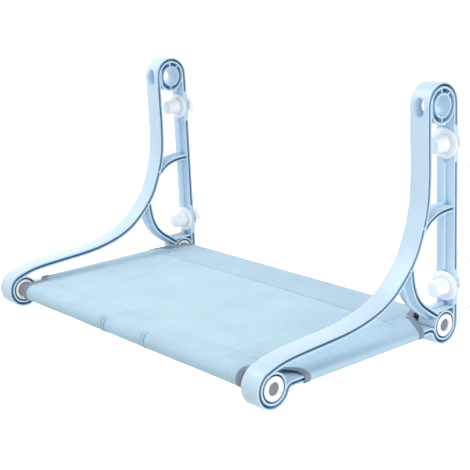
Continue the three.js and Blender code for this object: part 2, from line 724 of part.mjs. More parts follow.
for (const [sideName, side] of [['right', 1], ['left', -1]]) {
  const frame = new THREE.Group();
  frame.position.x = side * bracketPitch / 2;
  inPlace.add(frame);
  for (const [piece, geometry] of mouldings) {
    place(frame, `${sideName}_${piece}`, geometry, colours.plastic);
  }

  for (const [level, height] of Object.entries(cupHeights)) {
    const station = new THREE.Group();
    station.position.z = height;
    frame.add(station);
    const name = `${sideName}_${level}`;
    const cup = place(station, `${name}_suction_cup`, shapes.cup, colours.clear);
    cup.position.y = wallBack + clearance;
    const stud = place(station, `${name}_stud`, shapes.stud, colours.steel);
    stud.position.y = cup.position.y + studHeadDepth + clearance;
    const washer = place(station, `${name}_washer`, shapes.washer, colours.white);
    const nut = place(station, `${name}_nut`, shapes.nut, colours.white);
    for (const piece of [washer, nut]) {
      piece.position.y = wallFront - clearance;
      piece.rotation.x = Math.PI;
    }
  }

  for (const [end, centre] of [['front', front], ['back', back]]) {
    const boss = new THREE.Group();
    boss.position.set(0, centre.x, centre.y);
    boss.rotation.z = -side * Math.PI / 2;
    frame.add(boss);
    const name = `${sideName}_${end}`;
    place(boss, `${name}_outer_bush`, shapes.outerBush, colours.white);
    place(boss, `${name}_inner_bush`, shapes.innerBush, colours.white);
    place(boss, `${name}_bolt`, shapes.bolt, colours.steel);
    place(boss, `${name}_tube_insert`, shapes.insert, colours.steel);
    place(inPlace, `${name}_binding`, toGeometry(bindingSolid(side, end === 'front')), colours.binding);
  }
  place(inPlace, `${sideName}_hook_loop_strip`, toGeometry(hookLoopSolid(side)), colours.hookLoop);
}

for (const [end, centre] of [['front', front], ['back', back]]) {
  const tube = place(inPlace, `${end}_tube`, shapes.tube, colours.steel);
  tube.position.set(0, centre.x, centre.y);
  tube.rotation.z = -Math.PI / 2;
}
place(inPlace, 'cloth_bed', toGeometry(clothSolid()), colours.cloth);

export default hammock;
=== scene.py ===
"""Cat window hammock: two moulded side brackets on screw-down suction cups, two steel
tubes between them, and a cloth bed whose sleeves and side wraps they stretch."""

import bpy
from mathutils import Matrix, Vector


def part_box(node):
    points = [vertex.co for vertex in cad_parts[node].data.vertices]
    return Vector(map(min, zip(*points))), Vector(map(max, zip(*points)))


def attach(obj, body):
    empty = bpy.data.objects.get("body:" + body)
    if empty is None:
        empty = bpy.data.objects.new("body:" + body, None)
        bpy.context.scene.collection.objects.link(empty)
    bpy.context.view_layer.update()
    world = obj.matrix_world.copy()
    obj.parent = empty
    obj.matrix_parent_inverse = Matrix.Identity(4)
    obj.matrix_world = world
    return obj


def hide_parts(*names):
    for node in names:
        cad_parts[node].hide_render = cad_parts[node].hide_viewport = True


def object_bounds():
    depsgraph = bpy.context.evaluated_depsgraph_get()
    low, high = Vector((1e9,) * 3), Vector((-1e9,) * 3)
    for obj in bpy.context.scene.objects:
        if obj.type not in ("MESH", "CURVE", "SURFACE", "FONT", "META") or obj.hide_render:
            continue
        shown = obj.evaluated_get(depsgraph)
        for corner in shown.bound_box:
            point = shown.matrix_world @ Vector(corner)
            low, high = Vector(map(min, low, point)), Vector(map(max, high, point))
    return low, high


bl_info = {
    "name": "Cat window hammock",
    "version": (1, 0, 0),
    "blender": (4, 5, 0),
    "location": "3D View > Sidebar > Hammock",
    "description": "Builds a cat window hammock: two brackets on suction cups with a stretched cloth bed",
    "category": "Add Mesh",
}

import math
from functools import cache

import bmesh
import bpy
import numpy as np
from bpy.props import FloatProperty, FloatVectorProperty, PointerProperty
from mathutils import Matrix, Vector, noise

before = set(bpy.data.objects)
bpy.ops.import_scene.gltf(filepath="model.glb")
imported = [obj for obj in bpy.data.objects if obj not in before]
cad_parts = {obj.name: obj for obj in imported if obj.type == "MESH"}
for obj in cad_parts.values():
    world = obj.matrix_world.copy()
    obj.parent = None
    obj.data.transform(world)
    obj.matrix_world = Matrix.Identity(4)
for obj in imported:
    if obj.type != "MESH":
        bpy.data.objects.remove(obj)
cad_low, cad_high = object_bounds()

MM = 0.001
SIDES = {"right": 1, "left": -1}
LEVELS = ("upper", "lower")
ENDS = ("front", "back")

SHARP = math.radians(32)  # edges sharper than this stay crisp
CLOTH_SHARP = math.radians(80)
TAPE_SHARP = math.radians(60)
WELD = 0.001 * MM  # points closer than this become one
CUP_SIDES = BUSH_SIDES = RING_SIDES = 96  # sides of round pieces
NUT_SIDES, TUBE_SIDES, INSERT_SIDES, STUD_SIDES = 72, 64, 48, 40


# --- Places that come from the frame -----------------------------------------------------

def middle(node):
    """The middle of a CAD node's box."""
    low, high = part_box(node)
    return (low + high) / 2


def extent(node):
    """The size of a CAD node's box."""
    low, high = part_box(node)
    return high - low


BACK_TUBE = middle("back_tube")
FRONT_TUBE = middle("front_tube")
BRACKET_LOW, BRACKET_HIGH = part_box("right_bracket")
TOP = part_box("right_bracket_top_boss")[1].z
BRACKET_MIDDLE = (BRACKET_LOW.x + BRACKET_HIGH.x) / 2
TUBE_RADIUS = extent("front_tube").z / 2


def length(name, description, millimetres):
    """A size that a user may change, with its default in millimetres."""
    return FloatProperty(name=name, description=description, default=millimetres * MM, min=0,
                         unit="LENGTH", precision=4)


def angle(name, description, degrees):
    """An angle, with its default in degrees."""
    return FloatProperty(name=name, description=description, default=math.radians(degrees), unit="ROTATION")


def linear(hex_colour):
    """An sRGB hex colour as linear red, green and blue."""
    values = [int(hex_colour[i:i + 2], 16) / 255 for i in (1, 3, 5)]
    return tuple(v / 12.92 if v <= 0.04045 else ((v + 0.055) / 1.055) ** 2.4 for v in values)


def colour(name, description, hex_colour):
    """A colour that a user may change, with its default as an sRGB hex value."""
    return FloatVectorProperty(name=name, description=description, default=linear(hex_colour), size=3,
                               min=0, max=1, subtype="COLOR")


class HammockBracketSizes(bpy.types.PropertyGroup):
    """The two moulded side brackets."""

    width: length("Width", "Across the H-section of the band", (BRACKET_HIGH.x - BRACKET_LOW.x) / MM)
    groove: length("Groove", "Gap between the two skins of the band", 3.4)
    outer_skin: length("Outer skin", "Wall outside the groove", 2.5)
    inner_skin: length("Inner skin", "Wall inside the groove", 2.8)
    web: length("Web", "Wall that joins the skins", 3)
    bead_width: length("Bead width", "Width of the stiffening bead along the inside", 5)
    bead_height: length("Bead height", "Height of that bead", 4.5)
    bead_stop: length("Bead stop", "How far the bead ends off the front boss", 12)
    step: length("Step", "How far ribs and blocks stand back from the skins' edges", 0.4)
    edge: length("Moulded edge", "Radius of the moulded edges", 0.7)
    end_radius: length("Tube boss groove", "Radius of the groove round a tube boss", 22.5)
    top_radius: length("Top boss groove", "Radius of the groove round the top boss", 26.5)
    bar_drop: length("Bar drop", "Groove of the lower bar below the line of the tubes", 1.5)
    bar_fillet: length("Bar fillet", "Radius where the lower bar meets the tube bosses", 10)
    gusset_foot: length("Gusset foot", "Height where the gusset leaves the arm", 140)
    gusset_head: length("Gusset head", "Height where the gusset meets the wall", 159.5)
    rib_head: length("Rib head", "Height where the curved rib leaves the arm", 94)
    rib_belly: length("Rib belly", "How far the curved rib stands out from the back boss", 64)
    floor_rise: length("Floor", "Height of the small floor above the back boss", 23)
    floor_skin: length("Floor wall", "Wall of that floor", 2.5)
    top_bore: length("Top bore", "Radius of the bore in the top boss", 14)
    top_wall: length("Top bore wall", "Wall of that bore", 2.5)
    top_rib: length("Top ribs", "Width of the ribs in the top boss", 2.5)
    top_rib_recess: length("Top rib recess", "How far those ribs stand back", 2)
    wedge: length("Wedge", "Depth of the filled corner under the top boss", 5.5)
    eye_width: length("Eye width", "Width of the oval hole in the front of the arm", 17.5)
    eye_height: length("Eye height", "Height of that hole", 25.5)
    eye_wall: length("Eye wall", "Wall round that hole", 3)
    block: length("Seat block", "Height of the block that a suction cup seats on", 50)
    arm_landing: angle("Arm landing", "Where the arm meets the front boss", 115)
    rib_landing: angle("Rib landing", "Where the curved rib meets the back boss", 129)


class HammockFittingSizes(bpy.types.PropertyGroup):
    """Suction cups, nuts, bushes and bolts."""

    gap: length("Gap", "Running gap between pieces", 0.3)
    cup_radius: length("Cup radius", "Outside of the suction cup's rim",
                       extent("right_upper_suction_cup").x / 2 / MM)
    cup_wall: length("Cup wall", "Wall of the bell near its hub", 3)
    cup_lip: length("Cup lip", "Width of the rim on the glass", 2)
    hub_radius: length("Hub radius", "Radius of the cup's hub", 12)
    hub_depth: length("Hub depth", "Depth of that hub", 8)
    stud_radius: length("Stud radius", "Radius of the threaded stud", 4)
    stud_head: length("Stud head", "Radius of its head, moulded into the cup", 9)
    stud_head_thick: length("Stud head thickness", "Thickness of that head", 3)
    thread_pitch: length("Thread pitch", "Pitch of the stud's thread", 2)
    washer_hole: length("Washer hole", "Radius of the washer's hole", 8.3)
    knob_radius: length("Knob radius", "Radius of the nut's knob", extent("right_upper_nut").x / 2 / MM)
    knob_round: length("Knob rounding", "Radius of the knob's round end", 3)
    neck_radius: length("Neck radius", "Radius of the nut's neck", 8)
    flange_radius: length("Flange radius", "Radius of a bush's flange",
                          extent("right_front_outer_bush").z / 2 / MM)
    flange: length("Flange thickness", "Thickness of that flange", 2)
    barrel_wall: length("Barrel wall", "Wall of a bush's barrel", 1.2)
    seat_wall: length("Seat wall", "Wall of the seat that holds a bush", 2.4)
    barrel: length("Barrel length", "Length of a bush's barrel", 11)
    bolt_head: length("Bolt head", "Radius of the bolt's head", 8)
    bolt_head_thick: length("Bolt head thickness", "Thickness of that head", 3)
    bolt_recess: length("Bolt recess", "How far the head lies below the flange", 1.8)
    bolt_radius: length("Bolt radius", "Radius of the bolt's shank", 3)
    tube_wall: length("Tube wall", "Wall of the steel tubes", 1.2)
    tube_stop: length("Tube stop", "Tube end inside the bracket's outer face", 9)


class HammockClothSizes(bpy.types.PropertyGroup):
    """The cloth bed with its sleeves, side wraps, bindings and sewing."""

    thickness: length("Thickness", "Thickness of the cloth", 1.2)
    end_gap: length("End gap", "Sleeve mouths inside the brackets' inner faces", 7)
    front_pocket: length("Front pocket", "Front tube to its seam", 31)
    back_pocket: length("Back pocket", "Back tube to its seam", 64)
    hem: length("Hem", "Cloth turned in beyond a pocket's seam", 5)
    wrap_front: length("Wrap front", "Side wrap ends behind the front tube, on the bar's outside", 49)
    wrap_back: length("Wrap back", "Side wrap ends in front of the back tube, on the bar's outside", 50)
    notch_front: length("Front notch", "Notch between sleeve and wrap ends behind the front tube", 31)
    notch_back: length("Back notch", "Notch between sleeve and wrap ends in front of the back tube", 25)
    notch_reach: length("Notch reach", "How far along the bar the slant of a wrap's end fades out", 75)
    slant_start: length("Slant start", "Where the slant of a wrap's end begins, outside the bed's edge", 6)
    mouth_inset: length("Mouth inset", "How much further in the sleeves end", 9)
    wrap_off: length("Wrap slack", "How far the wrap stands off the bar's outer corner", 0.9)
    ramp: length("Ramp", "Where the side starts to slope down to the bar", 12)
    middle_sag: length("Middle sag", "How far the middle of the bed hangs", 2)
    side_sag: length("Side sag", "How much further its sides hang", 3.2)
    crease_inset: length("Crease inset", "Soft side crease in from the edge", 32)
    crease_width: length("Crease width", "Width of that crease", 14)
    crease_depth: length("Crease height", "Height of that crease", 1.4)
    tail: length("Tail", "How far the wrap comes back under the bed", 26)
    lap: length("Lap", "Width of the wrap's seam on the bed", 13)
    binding_width: length("Binding width", "Width of the edge binding", 9.5)
    binding_proud: length("Binding thickness", "How far the binding stands proud of the cloth", 0.6)
    strip_thick: length("Hook and loop thickness", "Thickness of that strip", 1.6)
    stitch: length("Stitch", "Length of a stitch, with its gap", 3.6)
    thread: length("Thread", "Radius of the sewing thread", 0.28)
    pucker: length("Pucker", "Height of the ripples along the seams", 0.45)
    drift: length("Drift", "Height of the cloth's slow unevenness", 0.7)


class HammockColours(bpy.types.PropertyGroup):
    """Colours of the mouldings, cloth and metal."""

    blue: colour("Blue plastic", "Moulded ABS of the brackets", "#C9E1F3")
    white: colour("White plastic", "Moulded ABS of nuts, washers and bushes", "#F8FBFF")
    clear: colour("Clear plastic", "Soft PVC of the suction cups", "#F6FAFC")
    steel: colour("Steel", "Zinc plated steel", "#A9A9B2")
    cloth: colour("Cloth", "Polyester of the bed", "#BAD8E8")
    binding: colour("Binding", "Woven edge binding", "#8995A6")
    hook_loop: colour("Hook and loop", "Hook-and-loop tape", "#DCE5EA")
    thread: colour("Thread", "Sewing thread", "#A9C8D8")


class HammockStage(bpy.types.PropertyGroup):
    """Floor, lights and camera."""

    floor_drop: length("Floor drop", "Floor below the lowest part of the hammock", 1100)
    lens: FloatProperty(name="Lens", description="Focal length for a 36 mm wide sensor", default=86.23, min=1)
    azimuth: angle("Azimuth", "Camera round the hammock from the room side", 50.02)
    elevation: angle("Elevation", "Camera above the horizon", 15.29)
    roll: angle("Roll", "Camera turned about its own axis", -2.80)
    camera_place: FloatVectorProperty(name="Camera place", description="Where the camera stands",
                                      default=(1.2220, -1.1801, 0.3856), size=3, unit="LENGTH")
    sky: FloatProperty(name="Room light", description="Strength of the studio's even light", default=0.42)
    key: FloatProperty(name="Key light", description="Power of the soft light above the left", default=24)
    glow: FloatProperty(name="Backdrop light", description="Strength of the lit paper behind", default=0.7)
    fill: FloatProperty(name="Fill light", description="Power of the soft light to the right", default=46)


def sizes(name):
    """The property group of that name on the scene."""
    return getattr(bpy.context.scene, f"hammock_{name}")


# --- Lines and outlines in the side plane, (towards the glass, up) from the back tube -----

class SideLines:
    """The lines that a bracket's band, gusset and rib follow."""

    def __init__(self):
        b = sizes("bracket")
        self.b = b
        self.half_groove = b.groove / 2
        self.outer = self.half_groove + b.outer_skin
        self.inner = self.half_groove + b.inner_skin
        self.wall_front = b.end_radius - self.inner
        self.wall_back = b.end_radius + self.outer
        self.back = Vector((0, 0))
        self.front = Vector((FRONT_TUBE.y - BACK_TUBE.y, FRONT_TUBE.z - BACK_TUBE.z))
        top_height = TOP - BACK_TUBE.z - b.top_radius - self.outer
        self.top = Vector((b.end_radius - b.top_radius, top_height))
        self.forward = self.front.normalized()
        self.upward = Vector((self.forward.y, -self.forward.x))
        self.bar_length = self.front.length
        self.cups = {level: middle(f"right_{level}_suction_cup").z - BACK_TUBE.z for level in LEVELS}
        self.skin_ring = self.wall_at(self.BLOCK_ROOT_SHARE)
        self.top_ring = b.top_radius - self.half_groove - b.inner_skin / 2
        self.loop, self.wall_and_arm = self.groove_line()

    # Share of the way out to the front boss, share of the way up to the top boss
    ARM_SHARES = (
        (0, 0.83), (0, 0.69), (0.0106, 0.541), (0.044, 0.4165), (0.104, 0.286), (0.203, 0.176),
        (0.302, 0.108), (0.4215, 0.066), (0.563, 0.043), (0.757, 0.033), (0.884, 0.026), (0.965, 0.014),
    )
    GUSSET_SHARES = ((0, 0), (0.25, 0.6), (0.57, 0.93), (1, 1))
    RIB_SHARES = ((1, 0.894), (0.953, 0.723), (0.852, 0.553), (0.703, 0.42), (0.5, 0.3085))
    # How deep parts are rooted in the inner skin; all differ, so no two faces lie in one place
    BEAD_ROOT_SHARE = 0.3
    TOP_ROOT_SHARE = 0.4
    BLOCK_ROOT_SHARE = 0.5
    FLOOR_ROOT_SHARE = 0.6
    RIB_ROOT_SHARE = 0.7

    def wall_at(self, part):
        """How far from the back tube a share of the wall's inner skin lies."""
        return self.wall_front + part * self.b.inner_skin

    def groove_line(self):
        """The closed groove line, and its stretch up the wall and down the arm."""
        b = self.b
        reach = b.end_radius + b.bar_fillet
        sink = b.bar_drop + b.bar_fillet
        run = math.sqrt(reach ** 2 - sink ** 2)
        lean = math.asin(sink / reach)
        line_angle = math.atan2(self.forward.y, self.forward.x)
        up_angle = math.atan2(self.upward.y, self.upward.x)
        fillet_front = self.front - self.forward * run - self.upward * sink
        fillet_back = self.back + self.forward * run - self.upward * sink
        back_start = line_angle + lean
        front_end = line_angle + math.pi - lean
        straight = self.top.x - b.top_radius
        crown = self.front.y + b.end_radius
        front_arc = arc(self.front, b.end_radius, b.arm_landing, front_end, 48)
        arm = [Vector((straight + out * (self.front.x - straight), crown + rise * (self.top.y - crown)))
               for out, rise in self.ARM_SHARES]
        arm = curve([Vector((straight, self.top.y)), *arm, front_arc[0]], 8)
        wall_and_arm = [Vector((b.end_radius, 0)), *arc(self.top, b.top_radius, 0, math.pi, 44), *arm[1:]]
        loop = [
            *arc(self.back, b.end_radius, back_start, 2 * math.pi, 44)[:-1],
            *wall_and_arm,
            *front_arc[1:-1],
            *arc(fillet_front, b.bar_fillet, front_end - math.pi, up_angle, 12),
            *arc(fillet_back, b.bar_fillet, up_angle, back_start - math.pi, 12)[:-1],
        ]
        return loop, wall_and_arm

    def on_arm(self, height):
        """Where a rib is rooted in the arm's inner skin, at a height."""
        skin = shifted(self.wall_and_arm, self.RIB_ROOT_SHARE * self.b.inner_skin - self.inner)
        for a, b in zip(skin, skin[1:]):
            if b.x < self.top.x and b.y < height <= a.y:
                return a.lerp(b, (a.y - height) / (a.y - b.y))
        raise ValueError("the rib starts off the arm")

    def gusset(self):
        start = self.on_arm(self.b.gusset_foot)
        run = self.wall_at(self.RIB_ROOT_SHARE) - start.x
        rise = self.b.gusset_head - self.b.gusset_foot
        foot = self.b.gusset_foot
        points = [Vector((start.x + out * run, foot + up * rise)) for out, up in self.GUSSET_SHARES]
        return curve(points, 10)

    def rib(self):
        b = self.b
        outward = Vector((math.cos(b.rib_landing), math.sin(b.rib_landing)))
        landing = outward * self.wall_at(self.RIB_ROOT_SHARE)
        points = [Vector((-out * b.rib_belly, rise * b.rib_head)) for out, rise in self.RIB_SHARES]
        return curve([self.on_arm(b.rib_head), *points, landing], 8)

    def arm_bead(self):
        return [p for p in self.wall_and_arm
                if p.x < self.top.x and p.y < self.top.y - self.b.top_radius / 2
                and (p - self.front).length > self.b.end_radius + self.b.bead_stop]

    def place(self, point, x):
        """A point of the side plane in the part's own frame."""
        return Vector((x, BACK_TUBE.y + point[0], BACK_TUBE.z + point[1]))


def arc(centre, radius, start, end, steps):
    """Points round a centre."""
    turn = (end - start) / steps
    return [centre + radius * Vector((math.cos(start + i * turn), math.sin(start + i * turn)))
            for i in range(steps + 1)]


def smooth(value, low, high):
    """A soft step from 0 at low to 1 at high."""
    t = min(max((value - low) / (high - low), 0), 1)
    return t * t * (3 - 2 * t)


def hump(away, width):
    """A soft hump: 1 in its middle, a third at its width, fading to 0."""
    return math.exp(-(away / width) ** 2)


def curve(points, steps):
    """A smooth curve through points."""
    out = []
    for i in range(len(points) - 1):
        p0, p1, p2 = points[max(i - 1, 0)], points[i], points[i + 1]
        p3 = points[min(i + 2, len(points) - 1)]
        v1, v2 = (p2 - p0) / 2, (p3 - p1) / 2
        cubic, square = 2 * p1 - 2 * p2 + v1 + v2, 3 * p2 - 3 * p1 - 2 * v1 - v2
        out += [cubic * t ** 3 + square * t ** 2 + v1 * t + p1 for t in (s / steps for s in range(steps))]
    return out + [points[-1].copy()]


def mitres(points, closed=False):
    """For each point of a line, the way to its right, long enough to keep an offset even."""
    count, out = len(points), []
    for i, point in enumerate(points):
        sides = []
        for a, b in ((i - 1, i), (i, i + 1)):
            if closed or (a >= 0 and b < count):
                run = (points[b % count] - points[a % count]).normalized()
                sides.append(Vector((run.y, -run.x)))
        total = sides[0] + sides[-1]
        out.append(total * (1 / (1 + sides[0].dot(sides[-1]))))
    return out


def shifted(points, distance, closed=False):
    """A line moved to its right."""
    return [p + side * distance for p, side in zip(points, mitres(points, closed))]


CORNER_SHARE = 0.48  # how much of a side a rounded corner may take


def rounded(points, radius, steps=3, closed=True):
    """An outline with its corners rounded."""
    points, out, count = [Vector(p) for p in points], [], len(points)
    parts = [s / steps for s in range(steps + 1)]
    for i, corner in enumerate(points):
        if not closed and i in (0, count - 1):
            out.append(corner)
            continue
        before, after = points[i - 1] - corner, points[(i + 1) % count] - corner
        reach = min(radius, before.length * CORNER_SHARE, after.length * CORNER_SHARE)
        start, end = corner + before.normalized() * reach, corner + after.normalized() * reach
        out += [start.lerp(corner, t).lerp(corner.lerp(end, t), t) for t in parts]
    return out


def box_outline(left, right, low, high, edge):
    """A rectangle with rounded corners."""
    return rounded([(left, low), (right, low), (right, high), (left, high)], edge)


def anticlockwise(points):
    """The same outline, turning to the left."""
    area = sum(a.x * b.y - b.x * a.y for a, b in zip(points, points[1:] + points[:1]))
    return points if area > 0 else points[::-1]


# --- Meshes ------------------------------------------------------------------------------

def ring_faces(rows, count, closed=False):
    """Faces between rings of points, with a cap at each end unless the last ring joins the first."""
    faces = [(i * count + j, i * count + (j + 1) % count,
              (i + 1) % rows * count + (j + 1) % count, (i + 1) % rows * count + j)
             for i in range(rows if closed else rows - 1) for j in range(count)]
    if not closed:
        faces += [tuple(range(count))[::-1], tuple(range((rows - 1) * count, rows * count))]
    return faces


def sweep(section, line, x, closed=False):
    """A closed section of (out, across) points carried along a line of the side plane."""
    verts = [side_lines().place(point + side * out, x + across)
             for point, side in zip(line, mitres(line, closed)) for out, across in section]
    return verts, ring_faces(len(line), len(section), closed)


def plate(outline, half_width, x, radius=0.0):
    """An outline of the side plane made solid to both sides of x, with rounded rims."""
    outline = anticlockwise([Vector(p) for p in outline])
    slope = radius * (1 - math.sqrt(0.5))
    rim = [(half_width, 0)]
    if radius:
        rim = [(half_width, radius), (half_width - slope, slope), (half_width - radius, 0)]
    rings = [(-across, inset) for across, inset in rim] + rim[::-1]
    verts = [side_lines().place(p, x + across)
             for across, inset in rings for p in shifted(outline, -inset, True)]
    return verts, ring_faces(len(rings), len(outline))


def turned(profile, centre, axis, sides):
    """A closed profile of (radius, height) points turned round an axis."""
    axis = Vector(axis).normalized()
    across = axis.orthogonal().normalized()
    other = axis.cross(across)
    verts = []
    for turn in (2 * math.pi * i / sides for i in range(sides)):
        way = across * math.cos(turn) + other * math.sin(turn)
        verts += [centre + way * radius + axis * height for radius, height in profile]
    return verts, ring_faces(sides, len(profile), closed=True)


def mesh_from(name, work):
    """The mesh that a bmesh holds; the bmesh is freed."""
    mesh = bpy.data.meshes.new(name)
    work.to_mesh(mesh)
    work.free()
    return mesh


def mesh_object(name, parts, material):
    """One object from closed parts, smooth except at its sharp edges."""
    whole = bmesh.new()
    for verts, faces in parts:
        part = bmesh.new()
        made = [part.verts.new(v) for v in verts]
        for face in faces:
            part.faces.new([made[i] for i in face])
        bmesh.ops.remove_doubles(part, verts=part.verts, dist=WELD)
        bmesh.ops.dissolve_degenerate(part, edges=part.edges, dist=WELD / 2)
        bmesh.ops.recalc_face_normals(part, faces=part.faces)
        mesh = mesh_from(name, part)
        whole.from_mesh(mesh)
        bpy.data.meshes.remove(mesh)
    return finish_object(name, mesh_from(name, whole), material)


def finish_object(name, mesh, material, sharp=SHARP):
    """An object in the scene with its material and shading."""
    mesh.polygons.foreach_set("use_smooth", [True] * len(mesh.polygons))
    mesh.set_sharp_from_angle(angle=sharp)
    mesh.materials.clear()
    mesh.materials.append(material)
    made = bpy.data.objects.new(name, mesh)
    bpy.context.collection.objects.link(made)
    return made


def unwrap(mesh, name, flat):
    """Gives a mesh UVs in metres, one pair for each of its points."""
    layer = mesh.uv_layers.active or mesh.uv_layers.new(name=name)
    for loop in mesh.loops:
        layer.data[loop.index].uv = flat[loop.vertex_index]


def mark(mesh, name, values):
    """Gives each point of a mesh three values that a material reads under that name."""
    layer = mesh.attributes.new(name, "FLOAT_COLOR", "POINT")
    for number, value in enumerate(values):
        layer.data[number].color = (*value, 1)


def cut(body, cutter):
    """Takes the cutter out of a body, and removes the cutter."""
    hole = body.modifiers.new("Hole", "BOOLEAN")
    hole.operation, hole.solver, hole.object = "DIFFERENCE", "EXACT", cutter
    graph = bpy.context.evaluated_depsgraph_get()
    mesh = bpy.data.meshes.new_from_object(body.evaluated_get(graph))
    body.modifiers.clear()
    old, body.data = body.data, mesh
    bpy.data.meshes.remove(old)
    bpy.data.objects.remove(cutter)


def merge(name, bodies, material):
    """One object from several."""
    whole = bmesh.new()
    for body in bodies:
        mesh = body.data
        whole.from_mesh(mesh)
        bpy.data.objects.remove(body)
        bpy.data.meshes.remove(mesh)
    return finish_object(name, mesh_from(name, whole), material)


@cache
def side_lines():
    """The bracket's lines, worked out once."""
    return SideLines()


def fit(made, body, slot, *nodes):
    """Lets a piece ride on its body and stand for its CAD nodes; the slot for its finish is not used."""
    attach(made, body)
    if nodes:
        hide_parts(*nodes)
    return made


def turned_piece(name, profile, base, axis, sides, material, slot, node, body="hammock"):
    """A piece turned from one profile, in place of one CAD node."""
    return fit(mesh_object(name, [turned(profile, base, axis, sides)], material), body, slot, node)


# --- Materials ---------------------------------------------------------------------------

def add(tree, kind, values=None, links=None, stops=(), **settings):
    """Adds a shader node with its settings, input values, links and, on a colour ramp, its stops."""
    node = tree.nodes.new("ShaderNode" + kind)
    for name, value in settings.items():
        setattr(node, name, value)
    for socket, value in (values or {}).items():
        node.inputs[socket].default_value = value
    for socket, source in (links or {}).items():
        tree.links.new(source, node.inputs[socket])
    for number, (position, value) in enumerate(stops):
        stop = node.color_ramp.elements[number]
        stop.position, stop.color = position, (*value, 1)
    return node


def made_once(name):
    """Turns a function that adds a shader to a node tree into one that gives the whole material."""
    def wrap(build):
        def material(*values):
            made = bpy.data.materials.get(name)
            if not made:
                made = bpy.data.materials.new(name)
                made.use_nodes = True
                tree = made.node_tree
                tree.nodes.clear()
                shader = build(tree, *values)
                add(tree, "OutputMaterial", links={"Surface": shader.outputs["BSDF"]})
            return made
        return material
    return wrap


def tinted(base, factor):
    """A colour made lighter or darker, within range."""
    return tuple(min(max(v * factor, 0), 1) for v in base)


def moulded_plastic(tree, base, painted_shade_colour, roughness):
    """Injection-moulded ABS: a satin skin with the fine orange peel of a polished tool."""
    place = add(tree, "TexCoord").outputs["Object"]
    # Flow marks of the moulding, some 35 mm long, shift the tone by about a hundredth
    flow = add(tree, "TexNoise", {"Scale": 1 / (35 * MM), "Detail": 2.0}, {"Vector": place})
    tone = add(tree, "ValToRGB", links={0: flow.outputs["Fac"]},
               stops=[(0.3, tinted(base, 0.982)), (0.7, tinted(base, 1.012))])
    # Painted shade: narrow grooves and corners, found by ambient occlusion, are painted towards a darker,
    # more saturated colour
    depth = add(tree, "AmbientOcclusion", {"Distance": 9 * MM}, samples=8)
    open_share = add(tree, "MapRange", {"From Min": 0.12, "From Max": 0.72},
                     {"Value": depth.outputs["AO"]})
    shade = add(tree, "Mix", {"A": (*painted_shade_colour, 1)},
                {"Factor": open_share.outputs["Result"], "B": tone.outputs["Color"]}, data_type="RGBA")
    # Orange peel, 1.2 mm from crest to crest, and a finer haze that breaks up the gloss
    peel = add(tree, "TexNoise", {"Scale": 1 / (1.2 * MM), "Detail": 1.0}, {"Vector": place})
    haze = add(tree, "TexNoise", {"Scale": 1 / (9 * MM), "Detail": 3.0}, {"Vector": place})
    gloss = add(tree, "MapRange", {"To Min": roughness - 0.05, "To Max": roughness + 0.06},
                {"Value": haze.outputs["Fac"]})
    bump = add(tree, "Bump", {"Strength": 0.12, "Distance": 0.03 * MM},
               {"Height": peel.outputs["Fac"]})
    return add(tree, "BsdfPrincipled", {"IOR": 1.53, "Specular IOR Level": 0.5},
               {"Base Color": shade.outputs["Result"], "Roughness": gloss.outputs["Result"],
                "Normal": bump.outputs["Normal"]})


@made_once("blue_moulded_abs")
def blue_abs(tree):
    # ABS, moulded: pale blue, satin; painted shade turns the narrow groove deep teal where light can't reach
    return moulded_plastic(tree, tuple(sizes("colours").blue), linear("#4E9CC6"), 0.36)


@made_once("white_moulded_abs")
def white_abs(tree):
    # ABS, moulded: white, with a cool blue painted shade in its corners
    return moulded_plastic(tree, tuple(sizes("colours").white), linear("#A9C3D8"), 0.32)


@made_once("clear_moulded_pvc")
def clear_pvc(tree):
    """Plasticised PVC, moulded: clear and soft, with a thin grey line of painted shade on its rims and
    painted shade where its wall is seen edge-on.
    """
    place = add(tree, "TexCoord").outputs["Object"]
    # Slow unevenness of the soft wall, 14 mm from crest to crest
    wave = add(tree, "TexNoise", {"Scale": 1 / (14 * MM), "Detail": 1.0}, {"Vector": place})
    bump = add(tree, "Bump", {"Strength": 0.1, "Distance": 0.2 * MM},
               {"Height": wave.outputs["Fac"]})
    # A thin wall seen edge-on and the thick hub let less light through
    grazing = add(tree, "LayerWeight", {"Blend": 0.22}).outputs["Facing"]
    marks = add(tree, "Attribute", attribute_name="thick")
    thick = add(tree, "SeparateColor", links={0: marks.outputs["Color"]})
    edge = add(tree, "MapRange", {"To Min": 0.06, "To Max": 0.5}, {"Value": grazing})
    hub = add(tree, "Math", {1: 0.85}, {0: thick.outputs["Red"]}, operation="MULTIPLY")
    rim = add(tree, "Math", {1: 0.5}, {0: thick.outputs["Green"]}, operation="MULTIPLY")
    wall = add(tree, "Math", links={0: edge.outputs["Result"], 1: hub.outputs[0]},
               operation="MAXIMUM")
    alpha = add(tree, "Math", links={0: wall.outputs[0], 1: rim.outputs[0]}, operation="MAXIMUM")
    clear = tuple(sizes("colours").clear)
    # Painted shade: the wall is painted greyer where it is seen edge-on
    edge_on_painted_shade = add(tree, "ValToRGB", links={0: grazing},
                  stops=[(0.5, clear), (0.95, tinted(clear, 0.72))])
    # Painted shade: the round of the rim, which bends the light away, is painted as a grey line
    tone = add(tree, "Mix", {"B": (*tinted(clear, 0.5), 1)},
               {"Factor": thick.outputs["Green"], "A": edge_on_painted_shade.outputs["Color"]}, data_type="RGBA")
    return add(tree, "BsdfPrincipled", {"Roughness": 0.3, "IOR": 1.53, "Transmission Weight": 0.7},
               {"Base Color": tone.outputs["Result"], "Alpha": alpha.outputs[0],
                "Normal": bump.outputs["Normal"]})


